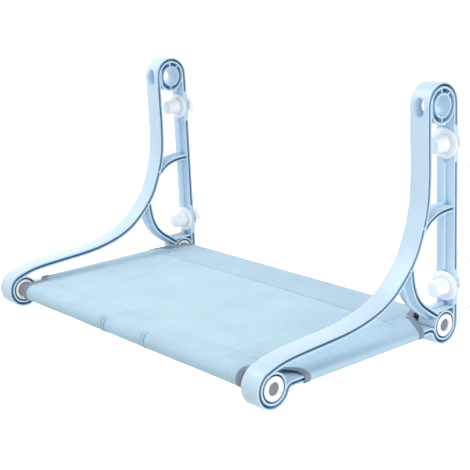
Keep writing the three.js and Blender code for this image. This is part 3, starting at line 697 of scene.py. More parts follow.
@made_once("zinc_plated_steel")
def zinc_steel(tree):
    """Steel, turned and zinc plated: a grey metal with fine turning lines and a slight cloudiness."""
    base = tuple(sizes("colours").steel)
    place = add(tree, "TexCoord").outputs["Object"]
    cloud = add(tree, "TexNoise", {"Scale": 1 / (5 * MM), "Detail": 3.0}, {"Vector": place})
    tone = add(tree, "ValToRGB", links={0: cloud.outputs["Fac"]},
               stops=[(0.3, tinted(base, 0.86)), (0.7, tinted(base, 1.1))])
    gloss = add(tree, "MapRange", {"To Min": 0.3, "To Max": 0.46}, {"Value": cloud.outputs["Fac"]})
    # Turning lines run round the axis, 0.5 mm apart; a wave texture repeats 6.28 times in a unit
    lines = add(tree, "TexWave", {"Scale": 1 / (0.5 * MM) / 6.28, "Distortion": 1.5},
                {"Vector": place}, bands_direction="X")
    bump = add(tree, "Bump", {"Strength": 0.15, "Distance": 0.02 * MM},
               {"Height": lines.outputs["Fac"]})
    return add(tree, "BsdfPrincipled", {"Metallic": 1.0},
               {"Base Color": tone.outputs["Color"], "Roughness": gloss.outputs["Result"],
                "Normal": bump.outputs["Normal"]})


def woven(tree, base, pitch, depth, roughness, sheen, mottle, sewn=False):
    """A plain weave on UVs that are metres of cloth: threads over and under, at the given pitch."""
    flat = add(tree, "TexCoord").outputs["UV"]
    split = add(tree, "SeparateXYZ", links={0: flat})
    waves = []
    for axis in ("X", "Y"):
        turn = add(tree, "Math", {1: math.pi / pitch}, {0: split.outputs[axis]},
                   operation="MULTIPLY")
        waves.append(add(tree, "Math", links={0: turn.outputs[0]}, operation="SINE").outputs[0])
    weave = add(tree, "Math", links={0: waves[0], 1: waves[1]}, operation="MULTIPLY")
    # Uneven yarn, thick and thin over some 9 mm, and slow mottling from handling over some 70 mm
    yarn = add(tree, "TexNoise", {"Scale": 1 / (9 * MM), "Detail": 4.0, "Roughness": 0.65},
               {"Vector": flat})
    cloud = add(tree, "TexNoise", {"Scale": 1 / (70 * MM), "Detail": 3.0}, {"Vector": flat})
    lift = add(tree, "Math", {1: 0.09}, {0: weave.outputs[0]}, operation="MULTIPLY")
    level = add(tree, "Math", {1: 0.5}, {0: lift.outputs[0]}, operation="ADD")
    mixed = add(tree, "Mix", {"Factor": mottle},
                {"A": level.outputs[0], "B": yarn.outputs["Fac"]}, data_type="FLOAT")
    both = add(tree, "Mix", {"Factor": mottle * 0.8},
               {"A": mixed.outputs["Result"], "B": cloud.outputs["Fac"]}, data_type="FLOAT")
    tone = add(tree, "ValToRGB", links={0: both.outputs["Result"]},
               stops=[(0.36, tinted(base, 0.9)), (0.64, tinted(base, 1.07))]).outputs["Color"]
    if sewn:
        marks = add(tree, "Attribute", attribute_name="sewn")
        marks = add(tree, "SeparateColor", links={0: marks.outputs["Color"]})
        # Painted shade: creases and gathers a few mm deep, found by ambient occlusion, and the marked valleys
        # between gathers are painted darker
        crease = add(tree, "AmbientOcclusion", {"Distance": 5 * MM}, samples=8)
        shade = add(tree, "MapRange",
                    {"From Min": 0.45, "From Max": 0.93, "To Min": 1, "To Max": 0},
                    {"Value": crease.outputs["AO"]})
        painted_valley_shade = add(tree, "Math", links={0: shade.outputs["Result"], 1: marks.outputs["Blue"]},
                     operation="MAXIMUM")
        # Painted shade: two layers, which let less light through, are painted greyer; a seam's furrow is
        # painted darker still
        for tint, factor in (("#F5F6F9", marks.outputs["Red"]), ("#DCE5EE", marks.outputs["Green"]),
                             ("#9CC0D8", painted_valley_shade.outputs[0])):
            tone = add(tree, "Mix", {"B": (*linear(tint), 1)}, {"Factor": factor, "A": tone},
                       data_type="RGBA", blend_type="MULTIPLY").outputs["Result"]
    height = add(tree, "Math", links={0: weave.outputs[0], 1: yarn.outputs["Fac"]}, operation="ADD")
    bump = add(tree, "Bump", {"Strength": 0.55, "Distance": depth}, {"Height": height.outputs[0]})
    return add(tree, "BsdfPrincipled",
               {"IOR": 1.5, "Roughness": roughness, "Sheen Weight": sheen, "Sheen Roughness": 0.5,
                "Specular IOR Level": 0.25}, {"Base Color": tone, "Normal": bump.outputs["Normal"]})


@made_once("plain_weave_polyester")
def polyester(tree):
    # Polyester canvas, plain weave: matt with a faint sheen. Its threads lie 0.6 mm apart and are
    # drawn 1.6 mm apart, so that they show
    base = tuple(sizes("colours").cloth)
    return woven(tree, base, 1.6 * MM, 0.18 * MM, roughness=0.86, sheen=0.18, mottle=0.45, sewn=True)


@made_once("woven_edge_binding")
def binding_tape(tree):
    # Polypropylene edge binding, woven: grey with a hard ribbed face, its ribs drawn 1.2 mm apart
    base = tuple(sizes("colours").binding)
    return woven(tree, base, 1.2 * MM, 0.25 * MM, roughness=0.7, sheen=0.1, mottle=0.35)


@made_once("nylon_hook_and_loop")
def hook_and_loop(tree):
    # Nylon hook-and-loop tape: pale, with a dense nap drawn as a 1 mm weave
    base = tuple(sizes("colours").hook_loop)
    return woven(tree, base, 1.0 * MM, 0.5 * MM, roughness=0.95, sheen=0.4, mottle=0.5)


@made_once("spun_polyester_thread")
def sewing_thread(tree):
    """Spun polyester thread: a little glossier and darker than the cloth it holds."""
    base = tuple(sizes("colours").thread)
    place = add(tree, "TexCoord").outputs["Object"]
    # Twist of the yarn, 0.8 mm from turn to turn
    twist = add(tree, "TexNoise", {"Scale": 1 / (0.8 * MM), "Detail": 1.0}, {"Vector": place})
    tone = add(tree, "ValToRGB", links={0: twist.outputs["Fac"]},
               stops=[(0.3, tinted(base, 0.88)), (0.7, tinted(base, 1.08))])
    bump = add(tree, "Bump", {"Strength": 0.3, "Distance": 0.05 * MM},
               {"Height": twist.outputs["Fac"]})
    return add(tree, "BsdfPrincipled", {"Roughness": 0.55, "IOR": 1.5, "Sheen Weight": 0.2},
               {"Base Color": tone.outputs["Color"], "Normal": bump.outputs["Normal"]})


@made_once("seamless_studio_paper")
def studio_paper(tree, tone, lit_tone, glow):
    """Seamless paper: plain, pale and matt, and lit through from behind where its lit mark says."""
    place = add(tree, "TexCoord").outputs["Object"]
    # Grain of the paper, 3 mm from crest to crest
    grain = add(tree, "TexNoise", {"Scale": 1 / (3 * MM), "Detail": 2.0}, {"Vector": place})
    bump = add(tree, "Bump", {"Strength": 0.03, "Distance": 0.1 * MM},
               {"Height": grain.outputs["Fac"]})
    lit = add(tree, "Attribute", attribute_name="lit").outputs["Fac"]
    base = add(tree, "ValToRGB", links={0: lit}, stops=[(0, (tone,) * 3), (1, (lit_tone,) * 3)])
    light = add(tree, "Math", {1: glow}, {0: lit}, operation="MULTIPLY")
    return add(tree, "BsdfPrincipled",
               {"Roughness": 0.95, "Specular IOR Level": 0.1, "Emission Color": (1, 1, 1, 1)},
               {"Base Color": base.outputs["Color"], "Emission Strength": light.outputs[0],
                "Normal": bump.outputs["Normal"]})


# --- Brackets ----------------------------------------------------------------------------

OVERLAP = math.radians(10)  # how far a skin's arc runs into the band at each end
BURIED = 0.06 * MM  # how far a skin's faces lie inside the band's, so that none lie in one place
WEB_EDGE = 0.1 * MM  # rounding of a boss's web, which ends inside other parts
FLOOR_STEPS = 1.5  # how many steps the small floor stands back from the skins' edges
FRONT_SKIN = (math.radians(-30), math.radians(120))  # stretch of the front boss's inner skin
FLOOR_WEB_START = math.radians(135)  # where the web under the small floor leaves the back boss
TOP_RIB_TURNS = (math.radians(90), math.radians(45), math.radians(-90))


def band_section(lines):
    """The H-section of the band: two skins and their web, as (out, across)."""
    b, h, o, i = lines.b, lines.half_groove, lines.outer, lines.inner
    w, t = b.width / 2, b.web / 2
    return rounded([(o, -w), (o, w), (h, w), (h, t), (-h, t), (-h, w),
                    (-i, w), (-i, -w), (-h, -w), (-h, -t), (h, -t), (h, -w)], b.edge)


def rib_section(lines, bead_side):
    """Section of gusset and rib: two skins, web and bead, on the left for -1 or the right for 1."""
    b, h, o = lines.b, lines.half_groove, lines.outer
    w, t, n = b.width / 2 - b.step, b.web / 2, b.bead_width / 2 - b.step
    d = o + b.bead_height
    section = [(o, -w), (o, w), (h, w), (h, t), (-h, t), (-h, w), (-o, w), (-o, n), (-d, n), (-d, -n),
               (-o, -n), (-o, -w), (-h, -w), (-h, -t), (h, -t), (h, -w)]
    return rounded([(-bead_side * out, across) for out, across in section], b.edge)


def skin_section(lines):
    """Section of the inner skin that a boss adds to the band's."""
    out, across = lines.b.inner_skin / 2 - BURIED, lines.b.width / 2 - BURIED
    return box_outline(-out, out, -across, across, lines.b.edge)


def ring_part(centre, outside, inside, half_width, x, edge):
    """A moulded ring round an axis across the bracket."""
    profile = box_outline(inside, outside, -half_width, half_width, edge)
    return turned(profile, side_lines().place(centre, x), (1, 0, 0), RING_SIDES)


def block(left, right, low, high, half_width, x, edge):
    """A block of the side plane with rounded rims."""
    return plate([(left, low), (right, low), (right, high), (left, high)], half_width, x, edge)


def frame_parts(lines, x):
    """Beads, gusset, rib and what fills the bracket between back boss and wall."""
    b, f, edge = lines.b, sizes("fitting"), lines.b.edge
    half, web_half = b.width / 2, (b.web + b.step) / 2
    bead = box_outline(-lines.inner - b.bead_height, lines.BEAD_ROOT_SHARE * b.inner_skin - lines.inner,
                       -b.bead_width / 2, b.bead_width / 2, edge)
    upright = [Vector((b.end_radius, lines.cups["lower"] + b.block / 2)),
               Vector((b.end_radius, lines.cups["upper"] - b.block / 2))]
    parts = [sweep(bead, lines.arm_bead(), x), sweep(bead, upright, x),
             sweep(rib_section(lines, -1), lines.gusset(), x), sweep(rib_section(lines, 1), lines.rib(), x)]
    # The small floor above the back boss, its bead, and the web that closes it below
    floor_low, floor_high = b.floor_rise - b.floor_skin, b.floor_rise
    floor_start, floor_root = -lines.wall_front, lines.wall_at(lines.FLOOR_ROOT_SHARE)
    floor_middle = (floor_low + floor_high) / 2
    bead_end = lines.wall_front - extent("right_lower_washer").y - 2 * f.gap
    parts += [block(floor_start, floor_root, floor_low, floor_high, half - FLOOR_STEPS * b.step, x, edge),
              block(floor_start + b.step, bead_end, floor_low, floor_high + b.bead_height - 2 * f.gap,
                    b.bead_width / 2, x, edge),
              plate([(floor_root, floor_middle), (floor_start, floor_middle),
                     *arc(lines.back, lines.skin_ring, FLOOR_WEB_START, 0, 24)], web_half, x)]
    # The filled corner under the top boss
    corner = lines.wall_at(lines.TOP_ROOT_SHARE)
    parts.append(plate([(corner, lines.top.y), (corner, lines.top.y - b.top_radius - b.wedge),
                        *arc(lines.top, lines.top_ring, -math.pi / 2, 0, 16)[:-1]], web_half, x))
    skin = skin_section(lines)
    parts.append(sweep(skin, arc(lines.back, lines.skin_ring, -OVERLAP, math.pi + OVERLAP, 48), x))
    parts.append(sweep(skin, arc(lines.front, lines.skin_ring, *FRONT_SKIN, 40), x))
    left, right = lines.wall_at(lines.BLOCK_ROOT_SHARE), lines.wall_back - b.outer_skin / 2
    for height in lines.cups.values():
        parts.append(block(left, right, height - b.block / 2, height + b.block / 2, half - b.step, x, edge))
    return parts


def boss_parts(lines, x):
    """Seats and webs of the tube bosses, and the ribs of the top boss."""
    b, f, edge = lines.b, sizes("fitting"), lines.b.edge
    half = b.width / 2
    seat_bore = TUBE_RADIUS + 2 * f.gap + f.barrel_wall
    web_low, web_high = seat_bore + f.seat_wall / 2, b.end_radius - lines.inner + b.inner_skin / 2
    parts = []
    for centre in (lines.back, lines.front):
        parts.append(ring_part(centre, seat_bore + f.seat_wall, seat_bore, half - f.flange - f.gap, x, edge))
        parts.append(ring_part(centre, web_high, web_low, b.web / 2, x, WEB_EDGE))
    near, far = b.top_bore + b.top_wall / 2, b.top_radius - lines.inner + b.inner_skin / 2
    for turn in TOP_RIB_TURNS:
        along = Vector((math.cos(turn), math.sin(turn)))
        aside = Vector((-along.y, along.x)) * (b.top_rib / 2)
        low, high = lines.top + along * near, lines.top + along * far
        parts.append(plate([low - aside, high - aside, high + aside, low + aside],
                           half - b.top_rib_recess, x, edge / 2))
    return parts


def top_boss_parts(lines, x):
    """The bore, web and inner skin of the top boss, which the oval hole goes through."""
    b = lines.b
    tube, recess = b.top_bore + b.top_wall, b.top_radius - lines.inner
    skin_line = arc(lines.top, lines.top_ring, math.pi - OVERLAP, 2 * math.pi + OVERLAP, 48)
    return [ring_part(lines.top, tube, b.top_bore, b.width / 2, x, b.edge),
            ring_part(lines.top, recess + b.inner_skin / 2, tube - b.top_wall / 2, b.web / 2, x, WEB_EDGE),
            sweep(skin_section(lines), skin_line, x)]


def eye_sleeve(lines, x):
    """The oval hole's own wall, from the front of the arm into the top bore."""
    b, top = lines.b, lines.top
    half_width, rise = b.eye_width / 2 + b.eye_wall, b.eye_height / 2 + b.eye_wall
    # Above the middle of the boss its front keeps to the round of the skin
    reach = b.top_radius + lines.outer - b.outer_skin / 2
    front, back = top.x - reach, top.x - b.top_bore - b.top_wall / 2
    return plate([(front, top.y - rise), (back, top.y - rise), (back, top.y + rise),
                  *arc(top, reach, math.pi - math.asin(rise / reach), math.pi, 8)], half_width, x, b.edge)


def eye_hole(lines, x, grown):
    """What the oval hole takes away, grown by a hair where two faces would lie in one place."""
    b, top = lines.b, lines.top
    round_hole = arc(Vector((0, 0)), b.eye_width / 2 + grown, 0, 2 * math.pi, 64)[:-1]
    oval = [Vector((p.x, p.y * b.eye_height / b.eye_width)) for p in round_hole]
    reach = (top.x - b.top_radius - lines.outer - b.block / 4, top.x)
    verts = [lines.place((y, top.y + p.y), x + p.x) for y in reach for p in oval]
    return verts, ring_faces(len(reach), len(oval))


def bracket_object(side_name):
    """One side bracket, cast from its lines."""
    lines, material = side_lines(), blue_abs()
    x = SIDES[side_name] * BRACKET_MIDDLE
    band = mesh_object("band", [sweep(band_section(lines), lines.loop, x, closed=True)], material)
    rest = mesh_object("rest", frame_parts(lines, x) + boss_parts(lines, x), material)
    holed = [eye_sleeve(lines, x), *top_boss_parts(lines, x)]
    sleeve, *boss = [mesh_object("part", [part], material) for part in holed]
    cut(sleeve, mesh_object("eye", [eye_hole(lines, x, 0)], material))
    for body in (band, *boss):
        cut(body, mesh_object("eye", [eye_hole(lines, x, BURIED)], material))
    made = merge(f"{side_name}_moulded_bracket", [sleeve, band, *boss, rest], material)
    nodes = [f"{side_name}_bracket{part}" for part in ("", "_wall", "_top_boss")]
    return fit(made, "hammock", "bracket_abs", *nodes)


class HAMMOCK_OT_brackets(bpy.types.Operator):
    """Builds the two moulded side brackets"""

    bl_idname = "hammock.brackets"
    bl_label = "Brackets"

    def execute(self, context):
        for side_name in SIDES:
            bracket_object(side_name)
        return {"FINISHED"}


# --- Suction cups, studs, washers and nuts -------------------------------------------------

# Along the bell from hub to rim: share of the way out, share of the way to the glass
BELL_SHARES = ((0.12, 0.03), (0.42, 0.2), (0.66, 0.4), (0.85, 0.62), (0.95, 0.8), (1, 0.93))
CEILING_SHARE = 0.6  # flat part of the bell's inside, as a share of the hub's radius
THICK_SHARES = (1.5, 2.6)  # where the hub's thickness fades, as shares of the stud's head
HUB_EDGE = 0.8 * MM
HEAD_EDGE = 0.5 * MM
THREAD_DEPTH = 0.5 * MM
CREST_SHARES = (0.35, 0.5)  # flat crest of a thread, as shares of its pitch
THREAD_CHAMFER = 1 * MM  # plain stretch at each end of a stud's thread
WASHER_EDGE = 0.7 * MM
KNOB_WALL = 2.5 * MM
WASHER_SHARES = (0.9, 0.7)  # where a washer's rim starts to fall: of its radius, of its thickness
KNOB_SHARES = ((0.97, 0.6), (0.93, 1))  # taper of a knob: of its radius, of its height


def cup_profile(f, depth):
    """Section of a suction cup, height 0 on the face of its hub."""
    ceiling = f.hub_depth + f.cup_wall

    def bell(start, low, run, rise, shares):
        points = [Vector((f.hub_radius + out * run, low + up * rise)) for out, up in shares]
        return curve([Vector((start, low)), *points], 4)

    run, rise = f.cup_radius - f.hub_radius, depth - f.hub_depth
    outside = bell(f.hub_radius, f.hub_depth, run, rise, BELL_SHARES)
    inside = bell(f.hub_radius * CEILING_SHARE, ceiling, run - f.cup_lip, rise - f.cup_wall, BELL_SHARES[:-1])
    hole, pocket = f.stud_radius + f.gap, f.stud_head + f.gap
    pocket_low = f.hub_depth / 2
    pocket_high = pocket_low + f.stud_head_thick + 2 * f.gap
    corner = rounded([(hole, pocket_low), (hole, 0), (f.hub_radius, 0)], HUB_EDGE, closed=False)
    start = [Vector(p) for p in ((0, ceiling), (0, pocket_high), (pocket, pocket_high), (pocket, pocket_low))]
    rim = [Vector((f.cup_radius, depth)), Vector((f.cup_radius - f.cup_lip, depth))]
    return [*start, *corner, *outside, *rim, *inside[::-1]]


def thread(pitch, radius, depth, low, high):
    """The crests and roots of a screw thread, drawn as rings a pitch apart."""
    points = []
    for i in range(int((high - low) / pitch)):
        at = low + i * pitch
        points.append(Vector((radius - depth, at)))
        points += [Vector((radius, at + pitch * part)) for part in CREST_SHARES]
    return points + [Vector((radius - depth, high))]


class HAMMOCK_OT_suction_cups(bpy.types.Operator):
    """Builds the four suction cups with their studs, washers and nuts"""

    bl_idname = "hammock.suction_cups"
    bl_label = "Suction cups"

    def execute(self, context):
        for side_name in SIDES:
            for level in LEVELS:
                self.station(sizes("fitting"), f"{side_name}_{level}")
        return {"FINISHED"}

    def station(self, f, name):
        low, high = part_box(f"{name}_suction_cup")
        centre, depth = (low + high) / 2, high.y - low.y
        hub_face = Vector((centre.x, low.y, centre.z))
        cup = turned_piece(f"{name}_soft_cup", cup_profile(f, depth), hub_face, (0, 1, 0), CUP_SIDES,
                           clear_pvc(), "clear_pvc", f"{name}_suction_cup")
        places = [math.hypot(v.co.x - centre.x, v.co.z - centre.z) for v in cup.data.vertices]
        hub = [f.stud_head * part for part in THICK_SHARES]
        rim = (f.cup_radius - 2 * f.cup_lip, f.cup_radius - f.cup_lip)
        # Red marks the thick hub; green marks the rim, which the material paints with a grey line of shade
        mark(cup.data, "thick", [(1 - smooth(away, *hub), smooth(away, *rim), 0) for away in places])

        low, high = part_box(f"{name}_stud")
        run = high.y - low.y
        shank = run - f.stud_head_thick
        base = Vector((centre.x, low.y, centre.z))
        head = rounded([(f.stud_radius, shank), (f.stud_head, shank), (f.stud_head, run), (0, run)],
                       HEAD_EDGE, closed=False)
        screw = thread(f.thread_pitch, f.stud_radius, THREAD_DEPTH, THREAD_CHAMFER, shank - THREAD_CHAMFER)
        turned_piece(f"{name}_threaded_stud", [Vector((0, 0)), *screw, *head], base, (0, 1, 0), STUD_SIDES,
                     zinc_steel(), "steel", f"{name}_stud")

        low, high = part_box(f"{name}_washer")
        seat = Vector((centre.x, high.y, centre.z))
        radius, thick = (high.x - low.x) / 2, high.y - low.y
        part_out, part_up = WASHER_SHARES
        disc = rounded([(f.washer_hole, 0), (radius, 0), (radius, thick * part_up),
                        (radius * part_out, thick), (f.washer_hole, thick)], WASHER_EDGE)
        turned_piece(f"{name}_flange_washer", disc, seat, (0, -1, 0), CUP_SIDES, white_abs(), "white_abs",
                     f"{name}_washer", f"{name}_washer_body")

        low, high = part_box(f"{name}_nut")
        run, bore, neck = high.y - low.y, f.stud_radius + f.gap, thick + f.gap
        taper = [(f.knob_radius * out, run * up) for out, up in KNOB_SHARES]
        cap = rounded([(f.knob_radius, neck), *taper, (0, run)], f.knob_round, 6, closed=False)
        knob = [Vector((bore, 0)), Vector((f.neck_radius, 0)), Vector((f.neck_radius, neck)), *cap,
                Vector((0, run - KNOB_WALL)), Vector((bore, run - KNOB_WALL))]
        turned_piece(f"{name}_knob_nut", knob, seat, (0, -1, 0), NUT_SIDES, white_abs(), "white_abs",
                     f"{name}_nut", f"{name}_nut_body")


# --- Tubes and their fastenings --------------------------------------------------------------

RING_GROOVE = 0.6 * MM  # depth of the ring groove in a bush's flange, and of the chamfer of its bore
CHAMFER = 0.8 * MM  # width of that chamfer
RING_SHARE = 0.8  # radius of the ring groove, as a share of the flange's
RING_GROOVE_HALF = 0.9 * MM  # half its width
BUSH_EDGE = 0.5 * MM
BOLT_PITCH, BOLT_THREAD_DEPTH, BOLT_PLAIN = 1 * MM, 0.3 * MM, 3 * MM
BOLT_FACE_SHARE = 0.82  # flat of a bolt's head, as a share of its radius
BOLT_EDGE = 0.6 * MM
TUBE_EDGE = 0.3 * MM


class HAMMOCK_OT_tubes(bpy.types.Operator):
    """Builds the two steel tubes with their bushes, bolts and inserts"""

    bl_idname = "hammock.tubes"
    bl_label = "Tubes and bushes"

    def execute(self, context):
        f, half = sizes("fitting"), sizes("bracket").width / 2
        for side_name, side in SIDES.items():
            for end, centre in zip(ENDS, (FRONT_TUBE, BACK_TUBE)):
                self.boss(f, half, side, f"{side_name}_{end}", centre)
        for end in ENDS:
            low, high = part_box(f"{end}_tube")
            profile = box_outline(TUBE_RADIUS - f.tube_wall, TUBE_RADIUS, 0, high.x - low.x, TUBE_EDGE)
            start = Vector((low.x, (low.y + high.y) / 2, (low.z + high.z) / 2))
            turned_piece(f"{end}_steel_tube", profile, start, (1, 0, 0), TUBE_SIDES, zinc_steel(), "steel",
                         f"{end}_tube")
        return {"FINISHED"}

    def boss(self, f, half, side, name, centre):
        base, axis = Vector((side * BRACKET_MIDDLE, centre.y, centre.z)), (side, 0, 0)
        barrel = TUBE_RADIUS + f.gap + f.barrel_wall
        bore, tube = f.bolt_radius + f.gap, TUBE_RADIUS + f.gap
        stop = half - f.tube_stop + f.gap
        ledge = half - f.bolt_recess - f.bolt_head_thick - f.gap
        seat = f.bolt_head + f.gap
        barrel_end = half - f.flange - f.barrel
        ring, flange, low_flange = f.flange_radius * RING_SHARE, f.flange_radius, half - f.flange
        outer = rounded([(bore, stop), (bore, ledge), (seat, ledge),
                         (seat, half - RING_GROOVE), (seat + CHAMFER, half), (ring - RING_GROOVE_HALF, half),
                         (ring, half - RING_GROOVE), (ring + RING_GROOVE_HALF, half),
                         (flange, half), (flange, low_flange), (barrel, low_flange),
                         (barrel, barrel_end), (tube, barrel_end), (tube, stop)], BUSH_EDGE)
        turned_piece(f"{name}_flanged_bush", outer, base, axis, BUSH_SIDES, white_abs(), "white_abs",
                     f"{name}_outer_bush")
        inner = rounded([(tube, -half), (flange, -half), (flange, -low_flange),
                         (barrel, -low_flange), (barrel, -barrel_end), (tube, -barrel_end)], BUSH_EDGE)
        turned_piece(f"{name}_inside_bush", inner, base, axis, BUSH_SIDES, white_abs(), "white_abs",
                     f"{name}_inner_bush")

        face = half - f.bolt_recess
        under = face - f.bolt_head_thick
        low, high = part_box(f"{name}_bolt")
        shank = under - (high.x - low.x - f.bolt_head_thick)
        screw = thread(BOLT_PITCH, f.bolt_radius, BOLT_THREAD_DEPTH, shank, under - BOLT_PLAIN)
        head = rounded([(f.bolt_radius, under), (f.bolt_head, under), (f.bolt_head, face - HEAD_EDGE),
                        (f.bolt_head * BOLT_FACE_SHARE, face), (0, face)], BOLT_EDGE, closed=False)
        turned_piece(f"{name}_recessed_bolt", [Vector((0, shank)), *screw, *head], base, axis, TUBE_SIDES,
                     zinc_steel(), "steel", f"{name}_bolt")

        low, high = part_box(f"{name}_tube_insert")
        end, run = half - f.tube_stop, high.x - low.x
        plug = box_outline(bore, TUBE_RADIUS - f.tube_wall - f.gap, end - run, end, BUSH_EDGE)
        turned_piece(f"{name}_threaded_insert", plug, base, axis, INSERT_SIDES, zinc_steel(), "steel",
                     f"{name}_tube_insert")


# --- Cloth bed -------------------------------------------------------------------------------

class Bed:
    """The cloth: sleeve, bed and sleeve as one grid, with a wrap at each side.

    Its points are (across, distance from the back tube to the front tube, height above
    the line through both tubes)."""

    COLUMNS = 150
    ARC_ROWS = 26
    WRAP_STEPS = 3
    END_SPREAD = 0.25  # how far the columns crowd towards both ends
    COLUMN_PITCH, COLUMNS_NEAR = 1 * MM, 16  # columns each side of a gather of the front sleeve
    SLACK = 0.35 * MM  # how loosely a sleeve lies round its tube
    # Rows on top of the bed: to the back notch, back seam, middle, front notch and front tube
    ROW_COUNTS = (10, 16, 34, 44, 14)

    def __init__(self):
        self.c, self.lines = c, lines = sizes("cloth"), side_lines()
        self.length = lines.bar_length
        self.half = BRACKET_MIDDLE - lines.b.width / 2 - c.end_gap
        self.radius = TUBE_RADIUS + sizes("fitting").gap + c.thickness / 2 + self.SLACK
        spots = [2 * i / self.COLUMNS - 1 for i in range(self.COLUMNS + 1)]
        self.xs = [self.half * math.sin(math.pi / 2 * spot) * self.END_SPREAD
                   + self.half * spot * (1 - self.END_SPREAD) for spot in spots]
        # Close columns at the gathers of the front sleeve
        pitch, count = self.COLUMN_PITCH, self.COLUMNS_NEAR
        for place in {round(place, 1) for place, _ in self.GATHER_SHARES}:
            near = [self.half * place + step * pitch for step in range(-count, count + 1)]
            self.xs = [x for x in self.xs if not near[0] - pitch < x < near[-1] + pitch] + near
        self.xs.sort()
        self.build()

    def sag(self, along):
        from_middle = 2 * along / self.length - 1
        return self.c.middle_sag * (1 - from_middle ** 2)

    def height(self, x, along):
        """Height of the cloth's middle above the line of the tubes."""
        c = self.c
        ends = smooth(along, c.ramp, c.wrap_back) * smooth(self.length - along, c.ramp, c.wrap_front)
        side = min(abs(x) / self.half, 1)
        crease = c.crease_depth * hump(abs(x) - self.half + c.crease_inset, c.crease_width)
        sag = self.sag(along)
        return self.radius - sag - ends * ((c.side_sag + c.middle_sag - sag) * side ** 3 - crease)

    def sleeve(self, x, along, seam_along):
        """From the top of a tube round it to where the cloth leaves for its seam."""
        seam = Vector((seam_along, self.height(x, seam_along) - self.c.thickness))
        to_seam = seam - Vector((along, 0))
        turn = 1 if to_seam.x > 0 else -1
        leave = math.atan2(to_seam.y, to_seam.x) - turn * math.acos(self.radius / to_seam.length)
        end = leave + 2 * math.pi if turn > 0 else leave - 2 * math.pi
        round_tube = arc(Vector((along, 0)), self.radius, math.pi / 2, end, self.ARC_ROWS)
        return round_tube, seam

    def row_places(self):
        """Distances of the rows on top of the bed, close together at seams and ends of the wraps."""
        c = self.c
        stops = [0, c.notch_back, c.back_pocket, self.length / 2, self.length - c.notch_front, self.length]
        places = [0]
        for low, high, count in zip(stops, stops[1:], self.ROW_COUNTS):
            places += [low + (high - low) * (i + 1) / count for i in range(count)]
        self.wrap_rows = (self.ROW_COUNTS[0], sum(self.ROW_COUNTS[:-1]))
        return places

    def build(self):
        c = self.c
        tops = self.row_places()
        grid = []
        for x in self.xs:
            back, back_seam = self.sleeve(x, 0, c.back_pocket)
            front, front_seam = self.sleeve(x, self.length, self.length - c.front_pocket)
            path = [Vector((c.back_pocket + c.hem, back_seam.y)), back_seam]
            path += [back_seam.lerp(back[-1], i / 9) for i in range(1, 9)]
            path += back[::-1]
            self.first_top = len(path) - 1
            path += [Vector((along, self.height(x, along))) for along in tops[1:-1]]
            path += front
            path += [front[-1].lerp(front_seam, i / 6) for i in range(1, 6)]
            path += [front_seam, Vector((self.length - c.front_pocket - c.hem, front_seam.y))]
            grid.append([(x, p.x, p.y) for p in path])
        self.last_top = self.first_top + len(tops) - 1
        self.grid = np.array(grid)
        self.rows = self.grid.shape[1]
        self.draw_mouths_in()
        self.normals = self.grid_normals(self.grid)
        self.ruffle()
        self.wraps = {side: self.wrap(side) for side in (1, -1)}

    MOUTH_START = 2 * MM  # how far from the tube the notch beside a sleeve's mouth begins

    def draw_mouths_in(self):
        """The sleeves end further in than the bed, so a slanted notch lies between them."""
        c, n = self.c, self.length
        for j in range(self.rows):
            share_in = 1.0
            if self.first_top <= j <= self.last_top:
                along = self.grid[0, j, 1]
                share_in = 1 - min(smooth(along, self.MOUTH_START, c.notch_back),
                                   smooth(n - along, self.MOUTH_START, c.notch_front))
            self.grid[:, j, 0] *= 1 - share_in * c.mouth_inset / self.half

    def grid_normals(self, grid):
        down = np.gradient(grid, axis=1)
        across = np.gradient(grid, axis=0)
        normals = np.cross(across, down)
        return normals / np.maximum(np.linalg.norm(normals, axis=2, keepdims=True), 1e-12)

    # A fold's start and end beyond its two places, as shares of its length, and how it widens
    FOLD_RISE, FOLD_FALL, FOLD_WIDTHS = (-0.15, 0.08), (0.35, 1.1), (0.6, 0.8)

    def fold(self, x, along, start, end, width, rise):
        """A fold of the cloth between two places: high at its start, fading to its end."""
        run = Vector(end) - Vector(start)
        at = Vector((x, along)) - Vector(start)
        part = at.dot(run) / run.length_squared
        if not self.FOLD_RISE[0] <= part <= self.FOLD_FALL[1]:
            return 0.0
        fade = smooth(part, *self.FOLD_RISE) * (1 - smooth(part, *self.FOLD_FALL))
        near, wider = self.FOLD_WIDTHS
        return rise * fade * hump((at - run * part).length, width * (near + wider * max(part, 0)))

    # Folds in millimetres: start and end, each in from the side and on from a tube, width and rise
    BACK_FOLDS = ((2, 30, 110, 52, 4, 1.8), (2, 36, 96, 92, 4, 2.4), (2, 42, 66, 128, 4, 2.0))
    FRONT_FOLDS = ((2, 38, 90, 74, 4, 1.8), (4, 32, 104, 42, 4, 1.6))
    LEFT_FOLDS = ((14, 70, 26, 250, 3.6, 2.9), (26, 84, 54, 278, 4.2, 2.8), (46, 78, 92, 216, 5, 2.4),
                  (80, 110, 110, 262, 5, 1.6))
    RIGHT_FOLD = (24, 110, 34, 240, 6, 1.2)
    RIGHT_FRONT_FOLD = (60, 8, 84, 90, 6, 1.2)
    # The same for the middle of the front sleeve's seam, but measured across from the middle
    MIDDLE_FOLDS = ((-40, 6, -10, 90, 7, 0.9), (60, 6, 84, 80, 7, 0.8))

    def folds(self):
        """Folds drawn by the pull of the wraps and sleeves, as places on the bed and sizes."""
        def placed(sizes_mm, side, front, from_side=True):
            x0, y0, x1, y1, width, rise = (value * MM for value in sizes_mm)
            ends = ((x0, y0), (x1, y1))
            return (*((side * (self.half - x) if from_side else x, self.length - y if front else y)
                      for x, y in ends), width, rise)

